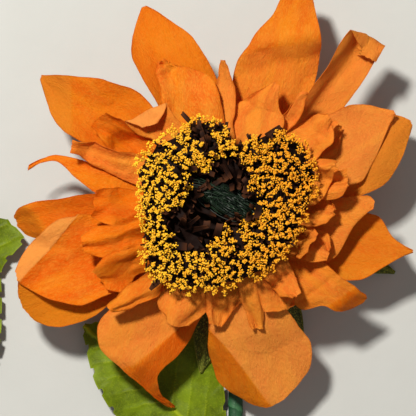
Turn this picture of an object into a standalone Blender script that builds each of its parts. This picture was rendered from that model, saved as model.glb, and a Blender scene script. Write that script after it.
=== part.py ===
"""A handmade crepe paper sunflower, lying on its back with its face up and its stem along -Y.

The head is built around the upright line through its middle, in millimetres above the table that it lies
on. Every sheet of paper is cut flat, folded, curved and then laid on what is already there, so that each
piece rests on the ones below it. One empty carries the whole flower, which puts the origin at the middle
of the wire's cut end, at the foot of the stem.
"""

import math
from dataclasses import dataclass, replace

import bmesh
import bpy
import numpy as np

MM = 0.001

# The patterns further down are drawn for a bloom of the pattern's radius, and are cut at this bloom's
BLOOM_RADIUS = 72.0
PATTERN_RADIUS = 72.0
LEAF_SCALE = 1.0

# Paper and clearances
PAPER = 0.4
GAP = 0.35
CELL = 0.7
LAY_ROUNDS = 12
LAY_SPREAD = 16.0
LAY_MARGIN = 0.12

# Stem, its wire and the green ring that carries the head
STEM_RADIUS = 2.9
STEM_BORE = 1.35
WIRE_RADIUS = 1.0
WIRE_SHOWS = 4.0
STEM_REACH = 200.0
STEM_OFFSET = 3.0
NECK_RADIUS = 14.0
CALYX_RADIUS = 7.5
CALYX_HEIGHT = 3.0

# Fringed middle
ROLL_RADIUS = 8.5
ROLL_HEIGHT = 9.0
FRINGE_RIM = 18.0
FRINGE_CROWN = 22.5
BOWL_WALL = 1.5
BOWL_SLOPE = 3.5
POLLEN_DEPTH = 2.4
POLLEN_BUMP = 1.0
POLLEN_SPLIT = 1.8
POLLEN_RAGGED = 0.05
TUFT_MIDDLE = (0.5, 1.0)
TUFT_SPAN = (6.8, 5.4, 4.0)

# Every petal leaves the roll at the same slope: it climbs this much over this reach
HUB_REACH = 9.0
HUB_RISE = 2.0

# Heights above the table that follow from the sizes above
NECK_TOP = STEM_RADIUS + NECK_RADIUS + 1.0
CALYX_FOOT = NECK_TOP + GAP
CALYX_TOP = CALYX_FOOT + CALYX_HEIGHT
ROLL_FOOT = CALYX_TOP + GAP
BRACT_FOOT = CALYX_FOOT + CALYX_HEIGHT / 2
PETAL_FOOT = ROLL_FOOT + 1.0

# The fringed middle seen from above: (direction in degrees, distance out) along its two edges
FRINGE_EDGE = (
    (20, 34), (38, 36), (62, 30), (80, 21), (97, 30.5), (107, 33.5), (120, 32.5), (145, 35), (157, 36),
    (178, 32), (202, 33), (217, 38), (232, 37), (255, 32.5), (286, 28), (322, 27.5), (350, 28),
)
HOLLOW_EDGE = (
    (15, 11), (45, 9), (65, 13), (82, 17), (100, 17), (118, 13.5), (138, 18), (165, 14), (203, 22),
    (222, 24), (240, 17), (262, 8), (300, 7), (335, 9),
)
# The crusts of yellow crumbs: (name, first direction, last direction), in degrees
POLLEN_CRUSTS = (
    ("pollen_upper_right", 10, 80),
    ("pollen_upper_left", 80, 143),
    ("pollen_left", 143, 213),
    ("pollen_lower_left", 213, 283),
    ("pollen_lower_right", 283, 370),
)


@dataclass
class Fold:
    """A bend across a sheet: everything beyond a line turns about it. It can grow from nothing at the hub."""

    out: float
    side: float
    toward: float
    turn: float
    radius: float = 1.5
    grows: float = 0.0


@dataclass
class Sheet:
    """One cut sheet that runs out from the middle. Ribs are (distance out, left half, right half)."""

    name: str
    direction: float
    ribs: tuple
    rise: tuple = (3.0, 2.0)
    cup: tuple = (2.0, 1.0)
    tilt: float = 0.0
    bow: float = 0.0
    folds: tuple = ()
    rows: int = 9
    rows_at: tuple = ()
    columns: int = 5
    base_half: float = 3.8
    foot: float = PETAL_FOOT
    hub: float = HUB_RISE
    start: float = ROLL_RADIUS + GAP
    teeth: float = 0.0
    middle: tuple = (0.0, 0.0)
    material: str = "petal_paper"


OUTER_PETALS = (
    Sheet("petal_left_top", 146, ((30, 6, 10), (40, 8, 12.5), (51, 10.5, 14), (62, 11.5, 12.5), (72, 9, 7.5),
                                  (79, 4.5, 3.5), (83, 0.7, 0.7)),
          rise=(5, 5), cup=(4.5, 0.5), tilt=1.5,
          folds=(Fold(66.4, 2, 34, -28, 3.0),)),
    Sheet("petal_top_left", 111, ((30, 8.5, 9.5), (40, 12.5, 12.5), (50, 14.5, 13), (59, 14, 11),
                                  (68, 11, 5.5), (75, 6.5, 1), (78.3, 3.5, -2)),
          rise=(6, 3), cup=(3.5, -1), tilt=-1.5),
    Sheet("petal_top", 70, ((30, 9, 11), (40, 13, 15), (50, 15, 15), (61, 12.5, 13), (71, 8.5, 8.5),
                            (79, 8, 4), (84, 3, 1)),
          rise=(8, 1), cup=(-3, 2), tilt=-1,
          folds=(Fold(58.5, 5, 34, -50, 5.0), Fold(51.5, 2, 34, 30, 3.0))),
    Sheet("petal_scroll", 49, ((30, 5, 6), (40, 6, 7.5), (50, 7.5, 8.5), (60, 9.5, 8), (69, 12, 7),
                               (77, 13.5, 5.5), (87, 1.5, 4.5)),
          rise=(5, 7), cup=(0, 0), columns=6, rows_at=(21, 34, 46, 57, 67, 74, 76.8, 78, 79.3, 80.6, 83, 87),
          folds=(Fold(77.3, 0, 8, 165, 1.2), Fold(60, -1, 96, 52, 3.2, 35))),
    Sheet("petal_right_top_back", 17, ((30, 8, 7), (38, 10.5, 8.5), (47, 14.5, 10.5), (55, 18, 9.5),
                                       (64, 16.5, 2.5), (69.5, 13, -4), (72.5, 10, -8)),
          rise=(5, 0), cup=(-1, -2), tilt=-1),
    Sheet("petal_right_top", 24, ((30, 9.5, 9), (38, 12.5, 11), (46, 14.5, 12), (54, 15, 7), (61, 12.5, 1),
                                  (66, 9, -3.5), (69, 7, -5.5)),
          rise=(7, 6), cup=(2, 0), tilt=-1),
    Sheet("petal_right_low", 346, ((30, 6, 11.5), (38, 7, 14), (46, 9, 15.5), (53, 9.5, 14), (61, 3, 7.5),
                                   (66, 1.2, 2.8), (69, 0.5, 0.5)),
          rise=(2, 4), cup=(3, 3)),
    Sheet("petal_right", 352, ((24, 6.5, 13), (30, 7, 17.5), (35, 7.5, 17.5), (41, 8.5, 13), (46, 10, 1),
                               (50, 10.5, -4.5), (52, 9, -6)),
          rise=(6, 9), cup=(1, 1), rows=8),
    Sheet("petal_lower_right", 327, ((30, 4, 15), (36, 3, 17), (42, 1.5, 17), (48, 0.5, 11.5), (54, 0.5, 9),
                                     (58, 0.5, 6.5), (60, -0.5, 3)),
          rise=(5, 6), cup=(1.5, 0), tilt=1,
          folds=(Fold(51.5, -5.6, -21, -42, 1.5),)),
    Sheet("petal_bottom", 281, ((30, 9.5, 11), (38.5, 12, 14.5), (47.5, 16, 18), (56, 19.5, 20),
                                (64.5, 18, 19), (70, 14, 15), (75, 8, 10)),
          rise=(7, -3), cup=(-4, -2), bow=3, columns=6,
          folds=(Fold(56.5, -8.5, -61, -28, 1.0),)),
    Sheet("petal_left_low_back", 207, ((30, 7, 5), (40, 9, 8), (51, 11.5, 11), (62, 14.5, 14), (73, 13, 15),
                                       (79, 10, 14), (83, 6, 9)),
          rise=(1, 0), cup=(1, 2), tilt=-1, bow=2),
    Sheet("petal_left", 186, ((30, 5, 8.5), (40, 6, 9.5), (49, 6.5, 10.5), (58, 6, 10), (68, 5.5, 9),
                              (75, 4.5, 7), (79, 1, 3.5)),
          rise=(4, 5), cup=(2.5, 0), tilt=-1.5,
          folds=(Fold(68, -3.1, 32, -48, 1.5),)),
    Sheet("petal_left_low", 200, ((30, 10, 9), (40, 13.5, 10.5), (50.5, 16.5, 14), (60.5, 16.5, 17.5),
                                  (71, 11, 15), (77.5, 4, 10.5), (81.5, -1.5, 6)),
          rise=(5, 7), cup=(5, 3), columns=6,
          folds=(Fold(70.4, -4.9, -63, -38, 1.5),)),
    Sheet("petal_lower_left", 246, ((30, 7.5, 13), (39, 9.5, 18), (48, 9, 22), (57, 6.5, 25), (65, 1.5, 21),
                                    (70, 4.5, 7), (73.5, 8, -2), (78, 17, -13.5)),
          rise=(6, -3), cup=(-3, -1), rows=12, columns=6,
          folds=(Fold(53.6, -0.2, 60, -36, 1.0),)),
    Sheet("petal_left_hook", 168, ((30, 6, 3), (38.5, 8, 3), (47, 6.5, 3.5), (56, 1.5, 5), (64.5, -2.6, 5),
                                   (70, -0.8, 2.4), (73.5, 2.6, -1)),
          rise=(7, 4), cup=(3, 0), tilt=3),
)

INNER_PETALS = (
    Sheet("ruffle_left_top", 146, ((30, 6.5, 4.5), (40, 9.5, 5), (48, 7.5, 5), (56, 4.5, 3.5)),
          rise=(4, 13)),
    Sheet("ruffle_left_high", 160, ((30, 4, 4), (42, 3, 4.5), (52, 2.5, 4), (60, 2, 3)), rise=(3, 8)),
    Sheet("ruffle_left", 180, ((24, 7, 4), (33, 10, 4.5), (40, 9.5, 5), (47, 3, 4.5)),
          rise=(5, 15), cup=(3, 1)),
    Sheet("ruffle_left_low", 195, ((24, 3, 3), (36, 5.5, 3), (46, 6.5, 4), (53.5, 3, 2)), rise=(4, 11)),
    Sheet("ruffle_lower_left", 210, ((30, 4.5, 3), (40, 7, 5), (47.5, 8.5, 6.5), (53, 4.5, 4)),
          rise=(4, 10), cup=(-2, -1)),
    Sheet("ruffle_lower_left_low", 221, ((30, 6, 2), (40, 8.5, 1.5), (48, 6.5, 2), (56, 1.5, 1)),
          rise=(4, 9)),
    Sheet("ruffle_bottom_left", 247.5, ((24, 3.5, 5.5), (34, 6.5, 8.5), (42, 5.5, 9.5), (47.5, 3, 5.5)),
          rise=(3, 8), cup=(-2, -1), bow=1.5),
    Sheet("ruffle_bottom", 266, ((24, 5.5, 3.5), (31, 6.5, 4.5), (38, 4, 4), (42.5, 1, 2.5)),
          rise=(4, 10), cup=(3, 2)),
    Sheet("ruffle_bottom_strip", 282, ((24, 5.5, 2), (32, 6.5, 2.5), (40, 5, 2.5), (45.5, 2.5, 1.5)),
          rise=(3, 7), cup=(-1.5, -1)),
    Sheet("ruffle_bottom_right", 292, ((24, 5.5, 2), (33, 8, 2), (39, 9.5, 2), (43, 9, -2)), rise=(3, 9)),
    Sheet("ruffle_lower_right", 309, ((24, 4, 5.5), (31, 5.5, 6.5), (37, 3, 6.5), (42, 0, 3)),
          rise=(5, 14), cup=(3, 1)),
    Sheet("ruffle_right_low_back", 333, ((24, 5.5, 6), (31, 7, 7), (36, 7.5, 6), (40.5, 4, 2)), rise=(3, 9)),
    Sheet("ruffle_right_low", 338, ((22, 3, 6.5), (28, 3, 8), (32, 4, 8.5), (35, 2, 5)), rise=(5, 15)),
    Sheet("ruffle_right", 356, ((22, 4.5, 7), (28, 5.5, 7), (33, 5.5, 4), (37, 3.5, 0)), rise=(4, 14)),
    Sheet("ruffle_right_back", 10, ((24, 3, 3.5), (32, 4, 4.5), (39, 5.5, 4), (44, 5, 1.5)), rise=(4, 12)),
    Sheet("ruffle_right_high", 33, ((24, 3, 5), (34, 4, 6), (42, 5, 5.5), (49, 4.5, -1.5)), rise=(4, 10)),
    Sheet("ruffle_right_mid", 17, ((24, 4, 7), (30, 5.5, 7.5), (36, 6.5, 3), (42, 2.8, 0)), rise=(5, 15)),
    Sheet("ruffle_upper_right", 41, ((24, 3.5, 6), (33, 5, 8.5), (41, 6.5, 7), (48, 1.5, 1.5)),
          rise=(4, 14), cup=(-1, 1)),
    Sheet("ruffle_top_right", 56, ((24, 3, 3), (34, 3, 4), (42, 4.5, 5), (49, 0.5, 2.5)),
          rise=(5, 15), cup=(4, 3)),
    Sheet("ruffle_top", 71, ((24, 6.5, 7), (33, 8.5, 10.5), (40, 5.5, 7), (47, -0.5, 3.5)),
          rise=(4, 12), cup=(3, 1)),
    Sheet("ruffle_top_point", 92, ((24, 3, 3.5), (36, 3.5, 4.5), (45, 3, 3), (52, 0.5, 0.7)),
          rise=(4, 13), cup=(2, 1)),
    Sheet("ruffle_top_left", 105, ((24, 7.5, 5.5), (33, 11, 6.5), (42, 12.5, 6), (50, 12, 1), (57, 11, -8)),
          rise=(4, 7), cup=(2, -1)),
    Sheet("ruffle_fold", 131, ((24, 3, 4), (34, 5, 6), (43.5, 8, 8), (47, 7.5, 7.5), (52.5, 2.5, 4)),
          rise=(4, 10), cup=(1, 0), rows_at=(24, 34, 42, 43.5, 44.3, 45.1, 45.9, 46.7, 52.5),
          folds=(Fold(43.5, 0, -16, 150, 1.2),)),
)
INNER_ROWS = 5
INNER_COLUMNS = 4
INNER_BASE_HALF = 3.0

# Green bracts behind the head: (direction, length)
BRACTS = ((261, 62), (299, 58), (338, 66.5), (20, 58), (64, 60), (111, 61), (152, 60), (203, 62))
BRACT_BASE_HALF = 2.0
BRACT_HALF = 7.5
BRACT_ROWS = 7

# Leaves: where each stalk leaves the stem, the place of each blade's base and the way it points, its widths
# along the midrib, and the stalk's way from the stem to the base
LEAF_LOWER_NODE = 96.5
LEAF_LEFT_NODE = 125.0
LEAF_TEETH = 1.3
LEAF_ROWS = 18
LEAF_COLUMNS = 4
STALK_RADIUS = 0.8
LEAF_HEIGHT = 2.6
LEAVES = (
    ("lower", (-4, -90), 137,
     ((9, 10, 13), (15, 13, 18), (23, 15.5, 22.5), (36, 15, 24), (48, 12, 18), (56, 7.5, 11), (64, 2, 3),
      (67, 0.7, 0.7)),
     ((-3, -LEAF_LOWER_NODE),)),
    ("left", (-99, -68), 78,
     ((8, 9, 9), (20, 17, 10), (34, 20, 7.5), (46, 19, 5), (54, 16, 8.5), (59, 11, 11), (63, 3, 6.5),
      (65, -1.5, 4.5)),
     ((-4, -LEAF_LEFT_NODE), (-18, 4 - LEAF_LEFT_NODE), (-45, -110), (-70, -97), (-88, -82))),
)

MATERIALS = {
    "petal_paper": ((0.85, 0.26, 0.03, 1), 0.75),
    "fringe_paper": ((0.035, 0.012, 0.008, 1), 0.8),
    "pollen": ((0.85, 0.47, 0.03, 1), 0.9),
    "tuft_fibre": ((0.012, 0.03, 0.014, 1), 0.9),
    "bract_paper": ((0.05, 0.07, 0.012, 1), 0.8),
    "leaf_paper": ((0.12, 0.23, 0.01, 1), 0.7),
    "stem_paper": ((0.02, 0.09, 0.03, 1), 0.6),
    "wire": ((0.25, 0.25, 0.24, 1), 0.4),
}


def clear_scene():
    for obj in list(bpy.data.objects):
        bpy.data.objects.remove(obj)


def material(name):
    """The named material, made once."""
    found = bpy.data.materials.get(name)
    if found:
        return found
    made = bpy.data.materials.new(name)
    made.use_nodes = True
    shader = made.node_tree.nodes["Principled BSDF"]
    color, roughness = MATERIALS[name]
    shader.inputs["Base Color"].default_value = color
    shader.inputs["Roughness"].default_value = roughness
    shader.inputs["Metallic"].default_value = 1.0 if name == "wire" else 0.0
    return made


def smooth_curve(places, values, at):
    """A curve through the stations that never swings past them."""
    places, values, at = (np.asarray(x, float) for x in (places, values, at))
    step, change = np.diff(places), np.diff(values)
    slope = change / step
    bend = np.concatenate([slope[:1], np.zeros(len(slope) - 1), slope[-1:]])
    same = slope[:-1] * slope[1:] > 0
    bend[1:-1][same] = 2 * slope[:-1][same] * slope[1:][same] / (slope[:-1][same] + slope[1:][same])
    k = np.clip(np.searchsorted(places, at, side="right") - 1, 0, len(step) - 1)
    t = (at - places[k]) / step[k]
    return (
        values[k] * (1 + 2 * t) * (1 - t) ** 2
        + values[k + 1] * t**2 * (3 - 2 * t)
        + step[k] * (bend[k] * t * (1 - t) ** 2 + bend[k + 1] * t**2 * (t - 1))
    )


def around(stations, degrees):
    """A closed curve through (direction, distance) stations, read at these directions."""
    places = [d for d, _ in stations]
    values = [r for _, r in stations]
    places = [d + turn for turn in (-360, 0, 360) for d in places]
    return smooth_curve(places, values * 3, np.mod(degrees, 360))


def bumps(x, y, size, seed=0):
    """Lumps of this size, from -1 to 1, the same each time."""
    a = np.sin(x / size * 2.1 + 1.7 * seed) * np.cos(y / size * 1.9 - 0.6 * seed)
    b = np.sin((x + y) / size * 3.3 + seed) * np.cos((x - y) / size * 2.7 + 2.0 * seed)
    return (a + b) / 2


def fold_over(fold, out, side, height):
    """Rolls what lies beyond the fold's line about it, up for a positive turn and down for a negative one."""
    toward, turn = math.radians(fold.toward), math.radians(abs(fold.turn))
    if fold.grows:
        turn = turn * np.clip((out - ROLL_RADIUS) / fold.grows, 0, 1)
    facing = math.copysign(1, fold.turn)
    ahead = (math.cos(toward), math.sin(toward))
    beyond = (out - fold.out) * ahead[0] + (side - fold.side) * ahead[1]
    past = np.maximum(beyond, 0)
    angle = np.minimum(past / fold.radius, turn)
    straight = np.maximum(past - fold.radius * turn, 0)
    lever = fold.radius - facing * height
    moved = lever * np.sin(angle) + straight * np.cos(angle) - past
    raised = fold.radius - lever * np.cos(angle) + straight * np.sin(angle)
    return out + moved * ahead[0], side + moved * ahead[1], facing * raised


def cut_at_scale(sheet, scale):
    """The sheet's pattern, cut larger or smaller."""
    ribs = tuple(tuple(scale * size for size in rib) for rib in sheet.ribs)
    rows_at = tuple(scale * row for row in sheet.rows_at)
    folds = tuple(
        replace(f, out=scale * f.out, side=scale * f.side, grows=scale * f.grows) for f in sheet.folds
    )
    return replace(sheet, ribs=ribs, rows_at=rows_at, folds=folds)


def sheet_points(sheet, along, across):
    """Points of a cut, folded and curved sheet, in the head's millimetres: along 0 to 1, across -1 to 1."""
    ribs = np.array(((sheet.start, sheet.base_half, sheet.base_half), *sheet.ribs), float)
    reach, left, right = ribs.T
    length = reach[-1] - reach[0]
    out = reach[0] + along * length
    half_left, half_right = smooth_curve(reach, left, out), smooth_curve(reach, right, out)
    if sheet.teeth:
        tooth = sheet.teeth * (np.mod(along * (sheet.rows / 2), 1) > 0.25) * (along < 0.97) * (along > 0.05)
        half_left, half_right = half_left + tooth, half_right + tooth
    side = (half_left - half_right) / 2 + across * (half_left + half_right) / 2
    out = out - sheet.bow * along**3 * across**2
    height = np.zeros_like(out)
    for fold in sheet.folds:
        out, side, height = fold_over(fold, out, side, height)
    share = (out - reach[0]) / length
    wide = side / max(left.max(), right.max())
    hub = reach[0] + HUB_REACH
    middle = (hub + reach[-1]) / 2
    height = height + smooth_curve((reach[0], hub, middle, reach[-1]), (0, sheet.hub, *sheet.rise), out)
    cup = sheet.cup[0] * np.sin(np.pi * np.clip(share, 0, 1)) + sheet.cup[1] * share**2
    height = height + cup * wide**2
    height = height + sheet.tilt * wide * share
    turn = math.radians(sheet.direction)
    return np.stack(
        [
            sheet.middle[0] + out * math.cos(turn) - side * math.sin(turn),
            sheet.middle[1] + out * math.sin(turn) + side * math.cos(turn),
            sheet.foot + height,
        ],
        axis=-1,
    )


class Pile:
    """The height of what already lies there, on a fine grid over the table."""

    def __init__(self, half_side=170.0):
        self.half_side = half_side
        cells = int(2 * half_side / CELL)
        self.top = np.full((cells, cells), -GAP)

    def copy(self):
        made = Pile(self.half_side)
        made.top = self.top.copy()
        return made

    def cell(self, points):
        found = ((points[:, :2] + self.half_side) / CELL).astype(int)
        return found[:, 0], found[:, 1]

    def clear_round_roll(self):
        """Leaves room for the roll, which stands inside the petals' feet."""
        middles = [(np.arange(n) + 0.5) * CELL - self.half_side for n in self.top.shape]
        x, y = np.meshgrid(*middles, indexing="ij")
        self.top[np.hypot(x, y) < ROLL_RADIUS + 1.5 * CELL] = CALYX_TOP

    def add(self, vertices, triangles):
        points = samples(vertices, triangles)
        np.maximum.at(self.top, self.cell(points), points[:, 2])


def samples(vertices, triangles):
    """Points spread over the triangles, closer together than the pile's cells."""
    corners = vertices[triangles]
    edges = np.linalg.norm(corners - np.roll(corners, 1, axis=1), axis=2).max()
    n = max(1, int(math.ceil(edges / (0.8 * CELL))))
    i, j = np.meshgrid(np.arange(n + 1), np.arange(n + 1))
    keep = i + j <= n
    a, b = i[keep] / n, j[keep] / n
    weights = np.stack([1 - a - b, a, b])
    return np.einsum("tkc,kw->twc", corners, weights).reshape(-1, 3)


def lay_on(pile, vertices, triangles, spread, follows=1.0):
    """Raises a piece smoothly where it would touch the pile, and adds it to the pile."""
    vertices = vertices.copy()
    for _ in range(LAY_ROUNDS):
        points = samples(vertices, triangles)
        x, y = pile.cell(points)
        need = pile.top[x, y] + GAP - points[:, 2]
        if need.max() <= 0:
            break
        short = need > 0
        key = x[short] * pile.top.shape[1] + y[short]
        order = np.lexsort((-need[short], key))
        first = np.unique(key[order], return_index=True)[1]
        at, amount = points[short][order][first], need[short][order][first] + LAY_MARGIN
        far = np.linalg.norm(vertices[:, None, :2] - at[None, :, :2], axis=2)
        lift = (amount[None, :] * np.exp(-((far / spread) ** 2))).max(axis=1)
        vertices[:, 2] += lift * follows
    pile.add(vertices, triangles)
    return vertices


def face_out(bm):
    """Turns a closed bmesh's faces outwards and cuts them into triangles."""
    bmesh.ops.recalc_face_normals(bm, faces=bm.faces[:])
    if bm.calc_volume(signed=True) < 0:
        bmesh.ops.reverse_faces(bm, faces=bm.faces[:])
    bmesh.ops.triangulate(bm, faces=bm.faces[:])
    return bm


def thick_sheet(sheet):
    """A bmesh of the sheet with the paper's thickness."""
    rows = len(sheet.rows_at) or sheet.rows
    bm = bmesh.new()
    bmesh.ops.create_grid(bm, x_segments=sheet.columns, y_segments=rows, size=1.0)
    place = np.array([v.co for v in bm.verts])
    along = (place[:, 1] + 1) / 2
    if sheet.rows_at:
        reach = np.array((sheet.start, *sheet.rows_at))
        along = (reach[np.round(along * rows).astype(int)] - reach[0]) / (reach[-1] - reach[0])
    points = sheet_points(sheet, along, place[:, 0])
    for vert, point in zip(bm.verts, points):
        vert.co = point
    bm.normal_update()
    bmesh.ops.solidify(bm, geom=bm.faces[:], thickness=PAPER)
    return face_out(bm)


def arrays(bm):
    """(vertices, triangles) of a triangulated bmesh."""
    bm.verts.ensure_lookup_table()
    vertices = np.array([v.co for v in bm.verts], float)
    triangles = np.array([[v.index for v in f.verts] for f in bm.faces])
    return vertices, triangles


def to_object(bm, name, material_name, head, smooth=True):
    """Turns a bmesh in millimetres into an object that the head's empty carries."""
    bmesh.ops.scale(bm, vec=(MM, MM, MM), verts=bm.verts[:])
    mesh = bpy.data.meshes.new(name)
    bm.to_mesh(mesh)
    bm.free()
    if smooth:
        mesh.shade_smooth()
        mesh.set_sharp_from_angle(angle=math.radians(40))
    mesh.materials.append(material(material_name))
    obj = bpy.data.objects.new(name, mesh)
    bpy.context.scene.collection.objects.link(obj)
    obj.parent = head
    return obj


def lay_bmesh(bm, pile, spread=LAY_SPREAD, held=0.0):
    """Lays a triangulated bmesh on the pile. Up to the held height above its foot it stretches."""
    bm.verts.index_update()
    vertices, triangles = arrays(bm)
    above = vertices[:, 2] - vertices[:, 2].min()
    follows = np.clip(above / held, 0, 1) if held else 1.0
    for vert, point in zip(bm.verts, lay_on(pile, vertices, triangles, spread, follows)):
        vert.co = point


def build_sheet(sheet, head, pile):
    bm = thick_sheet(sheet)
    lay_bmesh(bm, pile)
    return to_object(bm, sheet.name, sheet.material, head)


def tube(path, radius, sides, bore=0.0, aside=(1, 0, 0)):
    """A round rod, or a tube with a bore, swept along a path that never runs aside, as one closed body."""
    path = [np.array(p, float) for p in path]
    bm = bmesh.new()
    skins = []
    for r in (radius, bore) if bore else (radius,):
        rings = []
        for i, point in enumerate(path):
            ahead = path[min(i + 1, len(path) - 1)] - path[max(i - 1, 0)]
            ahead = ahead / np.linalg.norm(ahead)
            across = np.cross(ahead, aside)
            across = across / np.linalg.norm(across)
            up = np.cross(ahead, across)
            turns = 2 * math.pi * (np.arange(sides) + 0.5) / sides
            rings.append([bm.verts.new(point + r * (math.cos(t) * across + math.sin(t) * up)) for t in turns])
        for near, far in zip(rings, rings[1:]):
            ring_faces(bm, near, far)
        skins.append(rings)
    for end in (0, -1):
        if bore:
            ring_faces(bm, skins[0][end], skins[1][end])
        else:
            bm.faces.new(skins[0][end])
    return face_out(bm)


def ring_faces(bm, near, far):
    """Joins two rings of points with a band of faces."""
    for k in range(len(near)):
        n = (k + 1) % len(near)
        bm.faces.new((near[k], near[n], far[n], far[k]))


def stem_path(top):
    """The stem's middle line: from the head down the neck's bend, and flat along the table to the cut end."""
    neck = [
        (
            STEM_OFFSET * (1 - math.cos(t)),
            -NECK_RADIUS * (1 - math.cos(t)),
            STEM_RADIUS + NECK_RADIUS * (1 - math.sin(t)),
        )
        for t in np.linspace(0, math.pi / 2, 6)
    ]
    run = [(STEM_OFFSET, y, STEM_RADIUS) for y in np.linspace(-NECK_RADIUS, -STEM_REACH, 4)[1:]]
    return [(0, 0, top), *neck, *run]


def build_stem(head, pile):
    wrap = tube(stem_path(NECK_TOP), STEM_RADIUS, sides=12, bore=STEM_BORE)
    pile.add(*arrays(wrap))
    to_object(wrap, "stem_wrap", "stem_paper", head)
    path = stem_path(ROLL_FOOT - GAP)
    path.append((STEM_OFFSET, -STEM_REACH - WIRE_SHOWS, STEM_RADIUS))
    to_object(tube(path, WIRE_RADIUS, sides=8), "stem_wire", "wire", head)


def build_calyx(head):
    """The green ring under the head, with a hole for the wire."""
    path = [(0, 0, CALYX_FOOT), (0, 0, CALYX_TOP)]
    ring = tube(path, CALYX_RADIUS, sides=20, bore=WIRE_RADIUS + GAP)
    to_object(ring, "calyx_ring", "stem_paper", head)


def build_bracts(head, pile):
    for number, (direction, length) in enumerate(BRACTS, start=1):
        length = length * BLOOM_RADIUS / PATTERN_RADIUS
        widest = (0.55 * length, BRACT_HALF, BRACT_HALF)
        ribs = ((20, 6.5, 6.5), widest, (0.8 * length, 5, 5), (length, 0.6, 0.6))
        sheet = Sheet(f"bract_{number}", direction, ribs, rise=(-6, -BRACT_FOOT), cup=(-1, 0.5),
                      rows=BRACT_ROWS, columns=2, base_half=BRACT_BASE_HALF, foot=BRACT_FOOT, hub=-0.8,
                      start=CALYX_RADIUS + GAP,
                      material="bract_paper")
        build_sheet(sheet, head, pile)


def build_leaves(head, pile):
    """Each blade lies near the table over its wired stalk."""
    for side, base, direction, ribs, stalk in LEAVES:
        blade = Sheet(f"leaf_{side}", direction, ribs, rise=(2.5, 4), cup=(1.5, 2), rows=LEAF_ROWS,
                      columns=LEAF_COLUMNS, base_half=4.0, foot=LEAF_HEIGHT, start=0.0, teeth=LEAF_TEETH,
                      middle=base, material="leaf_paper")
        blade = cut_at_scale(blade, LEAF_SCALE)
        along = np.linspace(0.04, 0.8, 7)
        rib = sheet_points(blade, along, np.zeros(7))
        under = PAPER + STALK_RADIUS + GAP
        path = [(STEM_OFFSET - STEM_RADIUS - 1.2 * GAP, stalk[0][1], STEM_RADIUS)]
        path += [(x, y, STALK_RADIUS) for x, y in stalk]
        path += [(x, y, max(z - under, STALK_RADIUS)) for x, y, z in rib]
        wire = tube(path, STALK_RADIUS, sides=6, aside=(0, 0, 1))
        pile.add(*arrays(wire))
        to_object(wire, f"leaf_{side}_stalk", "stem_paper", head)
        build_sheet(blade, head, pile)


def build_petals(head, pile):
    scale = BLOOM_RADIUS / PATTERN_RADIUS
    for sheet in OUTER_PETALS:
        build_sheet(cut_at_scale(sheet, scale), head, pile)
    for sheet in INNER_PETALS:
        small = replace(sheet, rows=INNER_ROWS, columns=INNER_COLUMNS, base_half=INNER_BASE_HALF)
        build_sheet(cut_at_scale(small, scale), head, pile)


def fringe_edges(degrees):
    """The distances out of the hollow's edge and of the fringe's outer edge."""
    scale = BLOOM_RADIUS / PATTERN_RADIUS
    return scale * around(HOLLOW_EDGE, degrees), scale * around(FRINGE_EDGE, degrees)


def fringe_top(degrees, share):
    """(distance out, height) on the fringe's top, from the hollow's edge at 0 to the outer edge at 1."""
    inner, outer = fringe_edges(degrees)
    out = inner + share * (outer - inner)
    crown = 4 * share * (1 - share)
    height = ROLL_FOOT + FRINGE_RIM - 2 * (1 - share) + (FRINGE_CROWN - FRINGE_RIM) * crown
    return out, height


def build_fringe(head, pile):
    """The wound and fringed strip: a round roll that flares into the lobed rim round a hollow."""
    sides, levels = 36, 15
    bm = bmesh.new()
    bmesh.ops.create_uvsphere(bm, u_segments=sides, v_segments=levels, radius=1.0)
    for vert in bm.verts:
        degrees = math.degrees(math.atan2(vert.co.y, vert.co.x))
        level = round((1 + math.asin(max(-1, min(1, vert.co.z))) / (math.pi / 2)) / 2 * levels)
        hollow, rim = (float(edge) for edge in fringe_edges(degrees))
        flute = 0.7 * math.cos(math.radians(degrees) * sides / 2)
        wall = ROLL_RADIUS
        under = [(wall, ROLL_HEIGHT), (wall + 0.35 * (rim - wall) + flute, ROLL_HEIGHT + 3.2),
                 (wall + 0.72 * (rim - wall) + flute, FRINGE_RIM - 4), (rim + flute, FRINGE_RIM - 1)]
        stations = [(0, 0), (0.7 * wall, 0), (wall, 0), (wall, 0.5 * ROLL_HEIGHT), *under]
        for share in (0.97, 0.66, 0.33, 0.03):
            out, height = fringe_top(degrees, share)
            stations.append((float(out), float(height) - ROLL_FOOT))
        for share in (0.8, 0.5, 0.25, 0):
            floor = np.interp(share * hollow, [out for out, _ in under], [height for _, height in under])
            stations.append((share * hollow, float(floor) + BOWL_WALL + BOWL_SLOPE * share**2))
        out, height = stations[min(level, len(stations) - 1)]
        turn = math.radians(degrees)
        vert.co = (out * math.cos(turn), out * math.sin(turn), ROLL_FOOT + height)
    face_out(bm)
    pile.clear_round_roll()
    lay_bmesh(bm, pile, spread=2 * LAY_SPREAD, held=ROLL_HEIGHT)
    to_object(bm, "fringe_roll", "fringe_paper", head)


def crust_edge(degrees, share):
    """The ragged line where one crust ends and the next begins."""
    return degrees + 3 * np.sin(9 * share + degrees) + 2 * np.sin(19 * share + 2 * degrees)


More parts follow.
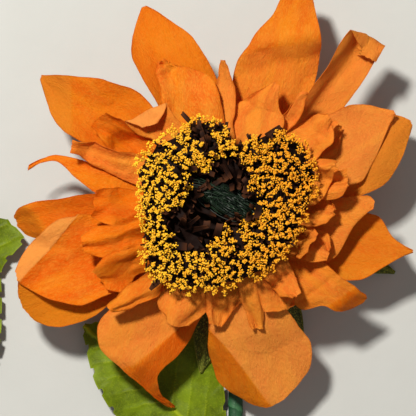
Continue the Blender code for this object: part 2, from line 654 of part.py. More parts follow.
def build_pollen(head, pile):
    """The crusts of yellow crumbs on the fringe's tips, each a lumpy slab over its own stretch of the rim."""
    for number, (name, first, last) in enumerate(POLLEN_CRUSTS):
        bm = bmesh.new()
        bmesh.ops.create_grid(bm, x_segments=round((last - first) / 6), y_segments=6, size=1.0)
        bmesh.ops.solidify(bm, geom=bm.faces[:], thickness=1.0)
        for vert in bm.verts:
            share, part_way = (vert.co.y + 1) / 2, (vert.co.x + 1) / 2
            degrees = (1 - part_way) * crust_edge(first, share) + part_way * crust_edge(last % 360, share)
            degrees += part_way * (last - last % 360)
            if share in (0, 1):
                share += POLLEN_RAGGED * float(np.sin(2.9 * degrees) + np.sin(1.3 * degrees)) / 2
            out, height = (float(x) for x in fringe_top(degrees, share))
            turn = math.radians(degrees)
            split = POLLEN_SPLIT / 2 * (1 if part_way < 0.001 else -1 if part_way > 0.999 else 0)
            x = out * math.cos(turn) - split * math.sin(turn)
            y = out * math.sin(turn) + split * math.cos(turn)
            level = abs(vert.co.z)
            lump = (1 - level) * POLLEN_BUMP * float(bumps(x, y, 2.6, number))
            vert.co = (x, y, height - level * POLLEN_DEPTH + lump)
        lay_bmesh(face_out(bm), pile.copy())
        to_object(bm, name, "pollen", head, smooth=False)


def build_tuft(head, pile):
    """The dark green fibre tuft in the bottom of the hollow."""
    bm = bmesh.new()
    bmesh.ops.create_uvsphere(bm, u_segments=12, v_segments=7, radius=1.0)
    for vert in bm.verts:
        lump = 1 + 0.1 * float(bumps(vert.co.x * 10, vert.co.y * 10, 2.0))
        x, y, z = (half * c * lump for half, c in zip(TUFT_SPAN, vert.co))
        vert.co = (TUFT_MIDDLE[0] + x, TUFT_MIDDLE[1] + y, ROLL_FOOT + ROLL_HEIGHT + BOWL_WALL + z)
    lay_bmesh(face_out(bm), pile)
    to_object(bm, "core_tuft", "tuft_fibre", head)


def main():
    clear_scene()
    head = bpy.data.objects.new("flower_head", None)
    bpy.context.scene.collection.objects.link(head)
    head.location = (-STEM_OFFSET * MM, (STEM_REACH + WIRE_SHOWS) * MM, -STEM_RADIUS * MM)
    pile = Pile(half_side=STEM_REACH + 40)
    build_stem(head, pile)
    build_calyx(head)
    build_leaves(head, pile)
    build_bracts(head, pile)
    build_petals(head, pile)
    build_fringe(head, pile)
    build_pollen(head, pile)
    build_tuft(head, pile)


main()
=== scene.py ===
"""The look of a handmade crepe paper sunflower, laid over its CAD solids.

Each sheet of paper is cut, folded and laid once as coarsely as in the CAD, which gives its height in the
pile, and is then cut again finely at that height with its creases, veins and ragged edges.
"""

import math
from dataclasses import dataclass, replace

import bmesh
import bpy
import numpy as np
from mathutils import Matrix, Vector
from mathutils.bvhtree import BVHTree


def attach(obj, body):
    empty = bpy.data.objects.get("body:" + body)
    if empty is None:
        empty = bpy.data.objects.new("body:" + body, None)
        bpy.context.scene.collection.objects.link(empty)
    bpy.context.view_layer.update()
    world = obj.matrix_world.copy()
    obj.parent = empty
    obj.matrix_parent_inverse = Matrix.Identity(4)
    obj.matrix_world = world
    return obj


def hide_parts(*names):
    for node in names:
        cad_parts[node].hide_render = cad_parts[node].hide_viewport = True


bl_info = {
    "name": "Paper sunflower",
    "version": (1, 0, 0),
    "blender": (4, 5, 0),
    "location": "3D View > Sidebar > Flower",
    "description": "Builds the petals, the fringed middle and the leaves of a crepe paper sunflower",
    "category": "Object",
}

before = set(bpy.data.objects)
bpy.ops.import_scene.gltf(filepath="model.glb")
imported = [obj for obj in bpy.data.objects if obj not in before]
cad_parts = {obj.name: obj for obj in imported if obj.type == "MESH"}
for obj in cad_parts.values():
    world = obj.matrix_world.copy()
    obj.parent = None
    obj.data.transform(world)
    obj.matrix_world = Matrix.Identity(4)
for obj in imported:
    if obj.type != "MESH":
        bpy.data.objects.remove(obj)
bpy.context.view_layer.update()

MM = 0.001

# The patterns further down are drawn for a bloom of the pattern's radius, and are cut at this bloom's
BLOOM_RADIUS = 72.0
PATTERN_RADIUS = 72.0
LEAF_SCALE = 1.0

# Paper and clearances
PAPER = 0.4
GAP = 0.35
CELL = 0.7
LAY_ROUNDS = 12
LAY_SPREAD = 16.0
LAY_MARGIN = 0.12

# Stem, its wire and the green ring that carries the head
STEM_RADIUS = 2.9
STEM_BORE = 1.35
WIRE_RADIUS = 1.0
WIRE_SHOWS = 4.0
STEM_REACH = 200.0
STEM_OFFSET = 3.0
NECK_RADIUS = 14.0
CALYX_RADIUS = 7.5
CALYX_HEIGHT = 3.0

# Fringed middle
ROLL_RADIUS = 8.5
ROLL_HEIGHT = 9.0
FRINGE_RIM = 18.0
TUFT_MIDDLE = (0.5, 1.0)
TUFT_SPAN = (6.8, 5.4, 4.0)

# Every petal leaves the roll at the same slope: it climbs this much over this reach
HUB_REACH = 9.0
HUB_RISE = 2.0

# Heights above the table that follow from the sizes above
NECK_TOP = STEM_RADIUS + NECK_RADIUS + 1.0
CALYX_FOOT = NECK_TOP + GAP
CALYX_TOP = CALYX_FOOT + CALYX_HEIGHT
ROLL_FOOT = CALYX_TOP + GAP
BRACT_FOOT = CALYX_FOOT + CALYX_HEIGHT / 2
PETAL_FOOT = ROLL_FOOT + 1.0

# The fringed middle seen from above: (direction in degrees, distance out) along its two edges
FRINGE_EDGE = (
    (20, 34), (38, 36), (62, 30), (80, 21), (97, 30.5), (107, 33.5), (120, 32.5), (145, 35), (157, 36),
    (178, 32), (202, 33), (217, 38), (232, 37), (255, 32.5), (286, 28), (322, 27.5), (350, 28),
)
HOLLOW_EDGE = (
    (15, 11), (45, 9), (65, 13), (82, 17), (100, 17), (118, 13.5), (138, 18), (165, 14), (203, 22),
    (222, 24), (240, 17), (262, 8), (300, 7), (335, 9),
)
# The crusts of yellow crumbs, round the fringe
POLLEN_CRUSTS = (
    "pollen_upper_right",
    "pollen_upper_left",
    "pollen_left",
    "pollen_lower_left",
    "pollen_lower_right",
)


@dataclass
class Fold:
    """A bend across a sheet: everything beyond a line turns about it. It can grow from nothing at the hub."""

    out: float
    side: float
    toward: float
    turn: float
    radius: float = 1.5
    grows: float = 0.0


@dataclass
class Sheet:
    """One cut sheet that runs out from the middle. Ribs are (distance out, left half, right half)."""

    name: str
    direction: float
    ribs: tuple
    rise: tuple = (3.0, 2.0)
    cup: tuple = (2.0, 1.0)
    tilt: float = 0.0
    bow: float = 0.0
    folds: tuple = ()
    rows: int = 9
    rows_at: tuple = ()
    columns: int = 5
    base_half: float = 3.8
    foot: float = PETAL_FOOT
    hub: float = HUB_RISE
    start: float = ROLL_RADIUS + GAP
    teeth: float = 0.0
    middle: tuple = (0.0, 0.0)


OUTER_PETALS = (
    Sheet("petal_left_top", 146, ((30, 6, 10), (40, 8, 12.5), (51, 10.5, 14), (62, 11.5, 12.5), (72, 9, 7.5),
                                  (79, 4.5, 3.5), (83, 0.7, 0.7)),
          rise=(5, 5), cup=(4.5, 0.5), tilt=1.5,
          folds=(Fold(66.4, 2, 34, -28, 3.0),)),
    Sheet("petal_top_left", 111, ((30, 8.5, 9.5), (40, 12.5, 12.5), (50, 14.5, 13), (59, 14, 11),
                                  (68, 11, 5.5), (75, 6.5, 1), (78.3, 3.5, -2)),
          rise=(6, 3), cup=(3.5, -1), tilt=-1.5),
    Sheet("petal_top", 70, ((30, 9, 11), (40, 13, 15), (50, 15, 15), (61, 12.5, 13), (71, 8.5, 8.5),
                            (79, 8, 4), (84, 3, 1)),
          rise=(8, 1), cup=(-3, 2), tilt=-1,
          folds=(Fold(58.5, 5, 34, -50, 5.0), Fold(51.5, 2, 34, 30, 3.0))),
    Sheet("petal_scroll", 49, ((30, 5, 6), (40, 6, 7.5), (50, 7.5, 8.5), (60, 9.5, 8), (69, 12, 7),
                               (77, 13.5, 5.5), (87, 1.5, 4.5)),
          rise=(5, 7), cup=(0, 0), columns=6, rows_at=(21, 34, 46, 57, 67, 74, 76.8, 78, 79.3, 80.6, 83, 87),
          folds=(Fold(77.3, 0, 8, 165, 1.2), Fold(60, -1, 96, 52, 3.2, 35))),
    Sheet("petal_right_top_back", 17, ((30, 8, 7), (38, 10.5, 8.5), (47, 14.5, 10.5), (55, 18, 9.5),
                                       (64, 16.5, 2.5), (69.5, 13, -4), (72.5, 10, -8)),
          rise=(5, 0), cup=(-1, -2), tilt=-1),
    Sheet("petal_right_top", 24, ((30, 9.5, 9), (38, 12.5, 11), (46, 14.5, 12), (54, 15, 7), (61, 12.5, 1),
                                  (66, 9, -3.5), (69, 7, -5.5)),
          rise=(7, 6), cup=(2, 0), tilt=-1),
    Sheet("petal_right_low", 346, ((30, 6, 11.5), (38, 7, 14), (46, 9, 15.5), (53, 9.5, 14), (61, 3, 7.5),
                                   (66, 1.2, 2.8), (69, 0.5, 0.5)),
          rise=(2, 4), cup=(3, 3)),
    Sheet("petal_right", 352, ((24, 6.5, 13), (30, 7, 17.5), (35, 7.5, 17.5), (41, 8.5, 13), (46, 10, 1),
                               (50, 10.5, -4.5), (52, 9, -6)),
          rise=(6, 9), cup=(1, 1), rows=8),
    Sheet("petal_lower_right", 327, ((30, 4, 15), (36, 3, 17), (42, 1.5, 17), (48, 0.5, 11.5), (54, 0.5, 9),
                                     (58, 0.5, 6.5), (60, -0.5, 3)),
          rise=(5, 6), cup=(1.5, 0), tilt=1,
          folds=(Fold(51.5, -5.6, -21, -42, 1.5),)),
    Sheet("petal_bottom", 281, ((30, 9.5, 11), (38.5, 12, 14.5), (47.5, 16, 18), (56, 19.5, 20),
                                (64.5, 18, 19), (70, 14, 15), (75, 8, 10)),
          rise=(7, -3), cup=(-4, -2), bow=3, columns=6,
          folds=(Fold(56.5, -8.5, -61, -28, 1.0),)),
    Sheet("petal_left_low_back", 207, ((30, 7, 5), (40, 9, 8), (51, 11.5, 11), (62, 14.5, 14), (73, 13, 15),
                                       (79, 10, 14), (83, 6, 9)),
          rise=(1, 0), cup=(1, 2), tilt=-1, bow=2),
    Sheet("petal_left", 186, ((30, 5, 8.5), (40, 6, 9.5), (49, 6.5, 10.5), (58, 6, 10), (68, 5.5, 9),
                              (75, 4.5, 7), (79, 1, 3.5)),
          rise=(4, 5), cup=(2.5, 0), tilt=-1.5,
          folds=(Fold(68, -3.1, 32, -48, 1.5),)),
    Sheet("petal_left_low", 200, ((30, 10, 9), (40, 13.5, 10.5), (50.5, 16.5, 14), (60.5, 16.5, 17.5),
                                  (71, 11, 15), (77.5, 4, 10.5), (81.5, -1.5, 6)),
          rise=(5, 7), cup=(5, 3), columns=6,
          folds=(Fold(70.4, -4.9, -63, -38, 1.5),)),
    Sheet("petal_lower_left", 246, ((30, 7.5, 13), (39, 9.5, 18), (48, 9, 22), (57, 6.5, 25), (65, 1.5, 21),
                                    (70, 4.5, 7), (73.5, 8, -2), (78, 17, -13.5)),
          rise=(6, -3), cup=(-3, -1), rows=12, columns=6,
          folds=(Fold(53.6, -0.2, 60, -36, 1.0),)),
    Sheet("petal_left_hook", 168, ((30, 6, 3), (38.5, 8, 3), (47, 6.5, 3.5), (56, 1.5, 5), (64.5, -2.6, 5),
                                   (70, -0.8, 2.4), (73.5, 2.6, -1)),
          rise=(7, 4), cup=(3, 0), tilt=3),
)

INNER_PETALS = (
    Sheet("ruffle_left_top", 146, ((30, 6.5, 4.5), (40, 9.5, 5), (48, 7.5, 5), (56, 4.5, 3.5)),
          rise=(4, 13)),
    Sheet("ruffle_left_high", 160, ((30, 4, 4), (42, 3, 4.5), (52, 2.5, 4), (60, 2, 3)), rise=(3, 8)),
    Sheet("ruffle_left", 180, ((24, 7, 4), (33, 10, 4.5), (40, 9.5, 5), (47, 3, 4.5)),
          rise=(5, 15), cup=(3, 1)),
    Sheet("ruffle_left_low", 195, ((24, 3, 3), (36, 5.5, 3), (46, 6.5, 4), (53.5, 3, 2)), rise=(4, 11)),
    Sheet("ruffle_lower_left", 210, ((30, 4.5, 3), (40, 7, 5), (47.5, 8.5, 6.5), (53, 4.5, 4)),
          rise=(4, 10), cup=(-2, -1)),
    Sheet("ruffle_lower_left_low", 221, ((30, 6, 2), (40, 8.5, 1.5), (48, 6.5, 2), (56, 1.5, 1)),
          rise=(4, 9)),
    Sheet("ruffle_bottom_left", 247.5, ((24, 3.5, 5.5), (34, 6.5, 8.5), (42, 5.5, 9.5), (47.5, 3, 5.5)),
          rise=(3, 8), cup=(-2, -1), bow=1.5),
    Sheet("ruffle_bottom", 266, ((24, 5.5, 3.5), (31, 6.5, 4.5), (38, 4, 4), (42.5, 1, 2.5)),
          rise=(4, 10), cup=(3, 2)),
    Sheet("ruffle_bottom_strip", 282, ((24, 5.5, 2), (32, 6.5, 2.5), (40, 5, 2.5), (45.5, 2.5, 1.5)),
          rise=(3, 7), cup=(-1.5, -1)),
    Sheet("ruffle_bottom_right", 292, ((24, 5.5, 2), (33, 8, 2), (39, 9.5, 2), (43, 9, -2)), rise=(3, 9)),
    Sheet("ruffle_lower_right", 309, ((24, 4, 5.5), (31, 5.5, 6.5), (37, 3, 6.5), (42, 0, 3)),
          rise=(5, 14), cup=(3, 1)),
    Sheet("ruffle_right_low_back", 333, ((24, 5.5, 6), (31, 7, 7), (36, 7.5, 6), (40.5, 4, 2)), rise=(3, 9)),
    Sheet("ruffle_right_low", 338, ((22, 3, 6.5), (28, 3, 8), (32, 4, 8.5), (35, 2, 5)), rise=(5, 15)),
    Sheet("ruffle_right", 356, ((22, 4.5, 7), (28, 5.5, 7), (33, 5.5, 4), (37, 3.5, 0)), rise=(4, 14)),
    Sheet("ruffle_right_back", 10, ((24, 3, 3.5), (32, 4, 4.5), (39, 5.5, 4), (44, 5, 1.5)), rise=(4, 12)),
    Sheet("ruffle_right_high", 33, ((24, 3, 5), (34, 4, 6), (42, 5, 5.5), (49, 4.5, -1.5)), rise=(4, 10)),
    Sheet("ruffle_right_mid", 17, ((24, 4, 7), (30, 5.5, 7.5), (36, 6.5, 3), (42, 2.8, 0)), rise=(5, 15)),
    Sheet("ruffle_upper_right", 41, ((24, 3.5, 6), (33, 5, 8.5), (41, 6.5, 7), (48, 1.5, 1.5)),
          rise=(4, 14), cup=(-1, 1)),
    Sheet("ruffle_top_right", 56, ((24, 3, 3), (34, 3, 4), (42, 4.5, 5), (49, 0.5, 2.5)),
          rise=(5, 15), cup=(4, 3)),
    Sheet("ruffle_top", 71, ((24, 6.5, 7), (33, 8.5, 10.5), (40, 5.5, 7), (47, -0.5, 3.5)),
          rise=(4, 12), cup=(3, 1)),
    Sheet("ruffle_top_point", 92, ((24, 3, 3.5), (36, 3.5, 4.5), (45, 3, 3), (52, 0.5, 0.7)),
          rise=(4, 13), cup=(2, 1)),
    Sheet("ruffle_top_left", 105, ((24, 7.5, 5.5), (33, 11, 6.5), (42, 12.5, 6), (50, 12, 1), (57, 11, -8)),
          rise=(4, 7), cup=(2, -1)),
    Sheet("ruffle_fold", 131, ((24, 3, 4), (34, 5, 6), (43.5, 8, 8), (47, 7.5, 7.5), (52.5, 2.5, 4)),
          rise=(4, 10), cup=(1, 0), rows_at=(24, 34, 42, 43.5, 44.3, 45.1, 45.9, 46.7, 52.5),
          folds=(Fold(43.5, 0, -16, 150, 1.2),)),
)
INNER_ROWS = 5
INNER_COLUMNS = 4
INNER_BASE_HALF = 3.0

# Green bracts behind the head: (direction, length)
BRACTS = ((261, 62), (299, 58), (338, 66.5), (20, 58), (64, 60), (111, 61), (152, 60), (203, 62))
BRACT_BASE_HALF = 2.0
BRACT_HALF = 7.5
BRACT_ROWS = 7

# Leaves: where each stalk leaves the stem, the place of each blade's base and the way it points, its widths
# along the midrib, and the stalk's way from the stem to the base
LEAF_LOWER_NODE = 96.5
LEAF_LEFT_NODE = 125.0
LEAF_TEETH = 1.3
LEAF_ROWS = 18
LEAF_COLUMNS = 4
STALK_RADIUS = 0.8
LEAF_HEIGHT = 2.6
LEAVES = (
    ("lower", (-4, -90), 137,
     ((9, 10, 13), (15, 13, 18), (23, 15.5, 22.5), (36, 15, 24), (48, 12, 18), (56, 7.5, 11), (64, 2, 3),
      (67, 0.7, 0.7)),
     ((-3, -LEAF_LOWER_NODE),)),
    ("left", (-99, -68), 78,
     ((8, 9, 9), (20, 17, 10), (34, 20, 7.5), (46, 19, 5), (54, 16, 8.5), (59, 11, 11), (63, 3, 6.5),
      (65, -1.5, 4.5)),
     ((-4, -LEAF_LEFT_NODE), (-18, 4 - LEAF_LEFT_NODE), (-45, -110), (-70, -97), (-88, -82))),
)


def smooth_curve(places, values, at):
    """A curve through the stations that never swings past them."""
    places, values, at = (np.asarray(x, float) for x in (places, values, at))
    step, change = np.diff(places), np.diff(values)
    slope = change / step
    bend = np.concatenate([slope[:1], np.zeros(len(slope) - 1), slope[-1:]])
    same = slope[:-1] * slope[1:] > 0
    bend[1:-1][same] = 2 * slope[:-1][same] * slope[1:][same] / (slope[:-1][same] + slope[1:][same])
    k = np.clip(np.searchsorted(places, at, side="right") - 1, 0, len(step) - 1)
    t = (at - places[k]) / step[k]
    return (
        values[k] * (1 + 2 * t) * (1 - t) ** 2
        + values[k + 1] * t**2 * (3 - 2 * t)
        + step[k] * (bend[k] * t * (1 - t) ** 2 + bend[k + 1] * t**2 * (t - 1))
    )


def around(stations, degrees):
    """A closed curve through (direction, distance) stations, read at these directions."""
    places = [d for d, _ in stations]
    values = [r for _, r in stations]
    places = [d + turn for turn in (-360, 0, 360) for d in places]
    return smooth_curve(places, values * 3, np.mod(degrees, 360))


def bumps(x, y, size, seed=0):
    """Lumps of this size, from -1 to 1, the same each time."""
    a = np.sin(x / size * 2.1 + 1.7 * seed) * np.cos(y / size * 1.9 - 0.6 * seed)
    b = np.sin((x + y) / size * 3.3 + seed) * np.cos((x - y) / size * 2.7 + 2.0 * seed)
    return (a + b) / 2


def fold_over(fold, out, side, height):
    """Rolls what lies beyond the fold's line about it, up for a positive turn and down for a negative one."""
    toward, turn = math.radians(fold.toward), math.radians(abs(fold.turn))
    if fold.grows:
        turn = turn * np.clip((out - ROLL_RADIUS) / fold.grows, 0, 1)
    facing = math.copysign(1, fold.turn)
    ahead = (math.cos(toward), math.sin(toward))
    beyond = (out - fold.out) * ahead[0] + (side - fold.side) * ahead[1]
    past = np.maximum(beyond, 0)
    angle = np.minimum(past / fold.radius, turn)
    straight = np.maximum(past - fold.radius * turn, 0)
    lever = fold.radius - facing * height
    moved = lever * np.sin(angle) + straight * np.cos(angle) - past
    raised = fold.radius - lever * np.cos(angle) + straight * np.sin(angle)
    return out + moved * ahead[0], side + moved * ahead[1], facing * raised


def cut_at_scale(sheet, scale):
    """The sheet's pattern, cut larger or smaller."""
    ribs = tuple(tuple(scale * size for size in rib) for rib in sheet.ribs)
    rows_at = tuple(scale * row for row in sheet.rows_at)
    folds = tuple(
        replace(f, out=scale * f.out, side=scale * f.side, grows=scale * f.grows) for f in sheet.folds
    )
    return replace(sheet, ribs=ribs, rows_at=rows_at, folds=folds)


def pattern_at(sheet, along):
    """The pattern's ribs, and the distance out and the two half widths at each share of the length."""
    ribs = np.array(((sheet.start, sheet.base_half, sheet.base_half), *sheet.ribs), float)
    reach, left, right = ribs.T
    out = reach[0] + along * (reach[-1] - reach[0])
    return reach, left, right, out, smooth_curve(reach, left, out), smooth_curve(reach, right, out)


def coarse_rows(sheet):
    """How far along the sheet each of the CAD's rows lies, from 0 to 1."""
    if not sheet.rows_at:
        return np.linspace(0, 1, sheet.rows + 1)
    reach = np.array((sheet.start, *sheet.rows_at))
    return (reach - reach[0]) / (reach[-1] - reach[0])


def sheet_points(sheet, along, across):
    """Points of a cut, folded and curved sheet, in the head's millimetres: along 0 to 1, across -1 to 1."""
    reach, left, right, out, half_left, half_right = pattern_at(sheet, along)
    length = reach[-1] - reach[0]
    if sheet.teeth:
        tooth = sheet.teeth * (np.mod(along * (sheet.rows / 2), 1) > 0.25) * (along < 0.97) * (along > 0.05)
        half_left, half_right = half_left + tooth, half_right + tooth
    side = (half_left - half_right) / 2 + across * (half_left + half_right) / 2
    out = out - sheet.bow * along**3 * across**2
    height = np.zeros_like(out)
    for fold in sheet.folds:
        out, side, height = fold_over(fold, out, side, height)
    share = (out - reach[0]) / length
    wide = side / max(left.max(), right.max())
    hub = reach[0] + HUB_REACH
    middle = (hub + reach[-1]) / 2
    height = height + smooth_curve((reach[0], hub, middle, reach[-1]), (0, sheet.hub, *sheet.rise), out)
    cup = sheet.cup[0] * np.sin(np.pi * np.clip(share, 0, 1)) + sheet.cup[1] * share**2
    height = height + cup * wide**2
    height = height + sheet.tilt * wide * share
    turn = math.radians(sheet.direction)
    return np.stack(
        [
            sheet.middle[0] + out * math.cos(turn) - side * math.sin(turn),
            sheet.middle[1] + out * math.sin(turn) + side * math.cos(turn),
            sheet.foot + height,
        ],
        axis=-1,
    )


class Pile:
    """The height of what already lies there, on a fine grid over the table."""

    def __init__(self, half_side):
        self.half_side = half_side
        cells = int(2 * half_side / CELL)
        self.top = np.full((cells, cells), -GAP)

    def cell(self, points):
        found = ((points[:, :2] + self.half_side) / CELL).astype(int)
        return found[:, 0], found[:, 1]

    def add(self, vertices, triangles):
        points = samples(vertices, triangles)
        np.maximum.at(self.top, self.cell(points), points[:, 2])


def samples(vertices, triangles):
    """Points spread over the triangles, closer together than the pile's cells."""
    corners = vertices[triangles]
    edges = np.linalg.norm(corners - np.roll(corners, 1, axis=1), axis=2).max()
    n = max(1, int(math.ceil(edges / (0.8 * CELL))))
    i, j = np.meshgrid(np.arange(n + 1), np.arange(n + 1))
    keep = i + j <= n
    a, b = i[keep] / n, j[keep] / n
    weights = np.stack([1 - a - b, a, b])
    return np.einsum("tkc,kw->twc", corners, weights).reshape(-1, 3)


def worst_places(pile, vertices, triangles, clearance, block):
    """(places, how far each is short of its clearance): the worst one in each block of the pile's cells."""
    points = samples(vertices, triangles)
    x, y = pile.cell(points)
    need = pile.top[x, y] + clearance - points[:, 2]
    short = need > 0
    key = (x[short] // block) * pile.top.shape[1] + y[short] // block
    order = np.lexsort((-need[short], key))
    first = np.unique(key[order], return_index=True)[1]
    return points[short][order][first], need[short][order][first]


def lay_on(pile, vertices, triangles):
    """Raises a coarse piece smoothly where it would touch the pile, and adds it to the pile."""
    vertices = vertices.copy()
    for _ in range(LAY_ROUNDS):
        at, amount = worst_places(pile, vertices, triangles, GAP, block=1)
        if not len(at):
            break
        far = np.linalg.norm(vertices[:, None, :2] - at[None, :, :2], axis=2)
        vertices[:, 2] += ((amount + LAY_MARGIN)[None, :] * np.exp(-((far / LAY_SPREAD) ** 2))).max(axis=1)
    pile.add(vertices, triangles)
    return vertices


def face_out(bm):
    """Turns a closed bmesh's faces outwards and cuts them into triangles."""
    bmesh.ops.recalc_face_normals(bm, faces=bm.faces[:])
    if bm.calc_volume(signed=True) < 0:
        bmesh.ops.reverse_faces(bm, faces=bm.faces[:])
    bmesh.ops.triangulate(bm, faces=bm.faces[:])
    return bm


def thick_sheet(sheet):
    """A bmesh of the sheet with the paper's thickness."""
    rows = len(sheet.rows_at) or sheet.rows
    bm = bmesh.new()
    bmesh.ops.create_grid(bm, x_segments=sheet.columns, y_segments=rows, size=1.0)
    along, across = grid_place(bm)
    if sheet.rows_at:
        along = coarse_rows(sheet)[np.round(along * rows).astype(int)]
    move_points(bm, sheet_points(sheet, along, across))
    bm.normal_update()
    bmesh.ops.solidify(bm, geom=bm.faces[:], thickness=PAPER)
    return face_out(bm)


def arrays(bm):
    """(vertices, triangles) of a triangulated bmesh."""
    bm.verts.ensure_lookup_table()
    vertices = np.array([v.co for v in bm.verts], float)
    triangles = np.array([[v.index for v in f.verts] for f in bm.faces])
    return vertices, triangles


def tube(path, radius, sides, bore=0.0, aside=(1, 0, 0)):
    """A round rod, or a tube with a bore, swept along a path that never runs aside, as one closed body."""
    path = [np.array(p, float) for p in path]
    bm = bmesh.new()
    skins = []
    for r in (radius, bore) if bore else (radius,):
        rings = []
        for i, point in enumerate(path):
            ahead = path[min(i + 1, len(path) - 1)] - path[max(i - 1, 0)]
            ahead = ahead / np.linalg.norm(ahead)
            across = np.cross(ahead, aside)
            across = across / np.linalg.norm(across)
            up = np.cross(ahead, across)
            turns = 2 * math.pi * (np.arange(sides) + 0.5) / sides
            rings.append([bm.verts.new(point + r * (math.cos(t) * across + math.sin(t) * up)) for t in turns])
        for near, far in zip(rings, rings[1:]):
            ring_faces(bm, near, far)
        skins.append(rings)
    for end in (0, -1):
        if bore:
            ring_faces(bm, skins[0][end], skins[1][end])
        else:
            bm.faces.new(skins[0][end])
    return face_out(bm)


def ring_faces(bm, near, far):
    """Joins two rings of points with a band of faces."""
    for k in range(len(near)):
        n = (k + 1) % len(near)
        bm.faces.new((near[k], near[n], far[n], far[k]))


def stem_path(neck_points, run_points):
    """The stem's middle line: from the head down the neck's bend, and flat along the table to the cut end."""
    neck = [
        (
            STEM_OFFSET * (1 - math.cos(t)),
            -NECK_RADIUS * (1 - math.cos(t)),
            STEM_RADIUS + NECK_RADIUS * (1 - math.sin(t)),
        )
        for t in np.linspace(0, math.pi / 2, neck_points)
    ]
    run = [(STEM_OFFSET, y, STEM_RADIUS) for y in np.linspace(-NECK_RADIUS, -STEM_REACH, run_points)[1:]]
    return [(0, 0, NECK_TOP), *neck, *run]


def fringe_edges(degrees):
    """The distances out of the hollow's edge and of the fringe's outer edge."""
    scale = BLOOM_RADIUS / PATTERN_RADIUS
    return scale * around(HOLLOW_EDGE, degrees), scale * around(FRINGE_EDGE, degrees)


# Where the head stands in the part's frame, in millimetres
HEAD_AT = np.array((-STEM_OFFSET, STEM_REACH + WIRE_SHOWS, -STEM_RADIUS))

# The finely cut sheets are thinner than the CAD's and lie closer together
FINE_GAP = 0.1
SETTLE_ROUNDS = 10
SETTLE_SPREAD = 5.0
SETTLE_BLOCK = 3
SETTLE_MARGIN = 0.04

# How a sheet is cut up: (rows, columns)
OUTER_CUT = (84, 40)
INNER_CUT = (54, 30)
LEAF_CUT = (110, 56)
BRACT_CUT = (50, 16)

# Flat sides of the round parts, and the points along their middle lines
STEM_SIDES = 26
STEM_POINTS = (40, 420)
STALK_SIDES = 12
STALK_STEP = 0.6
RING_SIDES = 60
RING_POINTS = 14

# Tape: how far each turn's edge stands up, and how far it moves along in one turn
STEM_TAPE_EDGE = 0.28
STALK_TAPE_EDGE = 0.1
STALK_TAPE_TURN = 3.2
RING_TAPE_EDGE = 0.25
RING_TAPE_TURN = 1.0

# Seeds of what is left to chance
FRINGE_SEED = 7
CRUMB_SEED = 11
TUFT_SEED = 5
LEAF_SEED = 301
BRACT_SEED = 331

# Two faces that meet at more than this many degrees have a hard edge between them
HARD_EDGE = 50

# Fringe: how many strips stand on its ring and in its hollow, how much of the ring they take, the four
# ways in which a strip bends, twists and tapers, and the width and thickness of a strip of unit length
RING_STRIPS = 640
HOLLOW_STRIPS = 100
RING_SHARE = 0.86
STRIP_KINDS = ((0.5, 0.6, 0.3), (1.1, -0.8, 0.35), (2.3, 0.4, 0.2), (0.2, 1.2, 0.4))
STRIP_WIDTH = 0.17
STRIP_THICKNESS = 0.022
# How brown a strip shows: bare strips show the paper's brown, strips in the crust of crumbs are painted near
# black as shade between the crumbs
BARE_STRIP = {"length": (6.0, 8.5), "width": (1.6, 2.8), "sunk": (-0.3, 0.8), "lean": 0.6, "brown_unless_shaded": 1.0}
CRUSTED_STRIP = {"length": (4.0, 5.5), "width": (0.7, 1.2), "sunk": (1.2, 2.8), "lean": 0.35, "brown_unless_shaded": 0.15}
HOLLOW_STRIP = {"length": (6.5, 11), "width": (1.8, 3.4), "sunk": 1.5, "lean": (-0.4, 0.35), "brown_unless_shaded": 0.45}

# The roll under the fringe: its flutes, their depth, and how far its top is drawn in and down
FLUTES = 47
FLUTE_DEPTH = 0.45
TOP_DRAWN_IN = 0.06
TOP_DRAWN_DOWN = 1.2

# Crumbs: how far apart their clumps stand, the clumps' radius, the grains in each and their radius, how thick
# the clumps must lie to show, how far out they are tried, and how often
CLUMP_SPACING = 1.75
CLUMP_RADIUS = 0.6
GRAINS = 24
GRAIN_RADIUS = (0.18, 0.42)
CLUMP_GAPS = 0.14
CLUMP_REACH = 40
CLUMP_TRIES = 26000
# How light the crumbs are, from 0 to 1: the usual, and its scatter
CRUMB_LIGHT = (0.58, 0.3)
# How orange they are: in the middle, how much more for each millimetre to the right as painted shade on the
# side away from the lamp, the scatter, the most
CRUMB_ORANGE_AND_SHADE = (0.28, 0.012, 0.12, 0.75)
# Where the crumbs are missing, and brown strips show: (x, y, radius) in the head's millimetres
BARE_PATCHES = ((-10, 26, 4.2), (-6, 21, 3), (13, 26.5, 4), (-17.5, -5.5, 5.5), (1, 12, 5.5), (4, 24, 3))

# The one wide strip that lies loose over the petals at the lower left: (x, y, foot's height, length, facing,
# lean, width, how brown it shows; low values paint it near black as shade)
LOOSE_STRIP = (-23.0, -24.5, 44.0, 7.5, math.radians(228), 1.25, 3.6, 1.2)

# Tuft: its fibres, how far they spread along and across it as shares of its solid, and the cosine and sine of
# the angle by which it lies askew
FIBRES = 300
FIBRE_SPREAD = (1.85, 0.72)
FIBRE_ASKEW = (0.88, 0.47)
FIBRE_RADIUS = (0.09, 0.16)

# Floor and lamps, in metres from the head's middle, and the fill lamp's share of the key lamp's power
FLOOR_HALF = 2.0
KEY_AT = (-0.27, 0.38, 0.885)
KEY_SIZE = 0.1
KEY_COLOUR = (1.0, 0.96, 0.88)
FILL_AT = (0.3, -0.9, 0.7)
FILL_SIZE = 1.2
FILL_COLOUR = (1.0, 0.93, 0.82)
FILL_SHARE = 0.12
SKY_COLOUR = (1.0, 0.98, 0.94)

# Bare iron wire, and its dull spots
WIRE_COLOUR = (0.32, 0.31, 0.29)
WIRE_DULL = (0.2, 0.17, 0.14)

# The photograph's frame: its side in pixels, millimetres a pixel at the petals, and the head's middle in it
FRAME_SIDE = 416
FRAME_SCALE = 0.36
HEAD_PIXEL = (228, 205)
PETAL_LEVEL = 0.0271
CAMERA_HEIGHT = 1.0
SENSOR = 36.0


def settings(name):
    return getattr(bpy.context.scene, name)


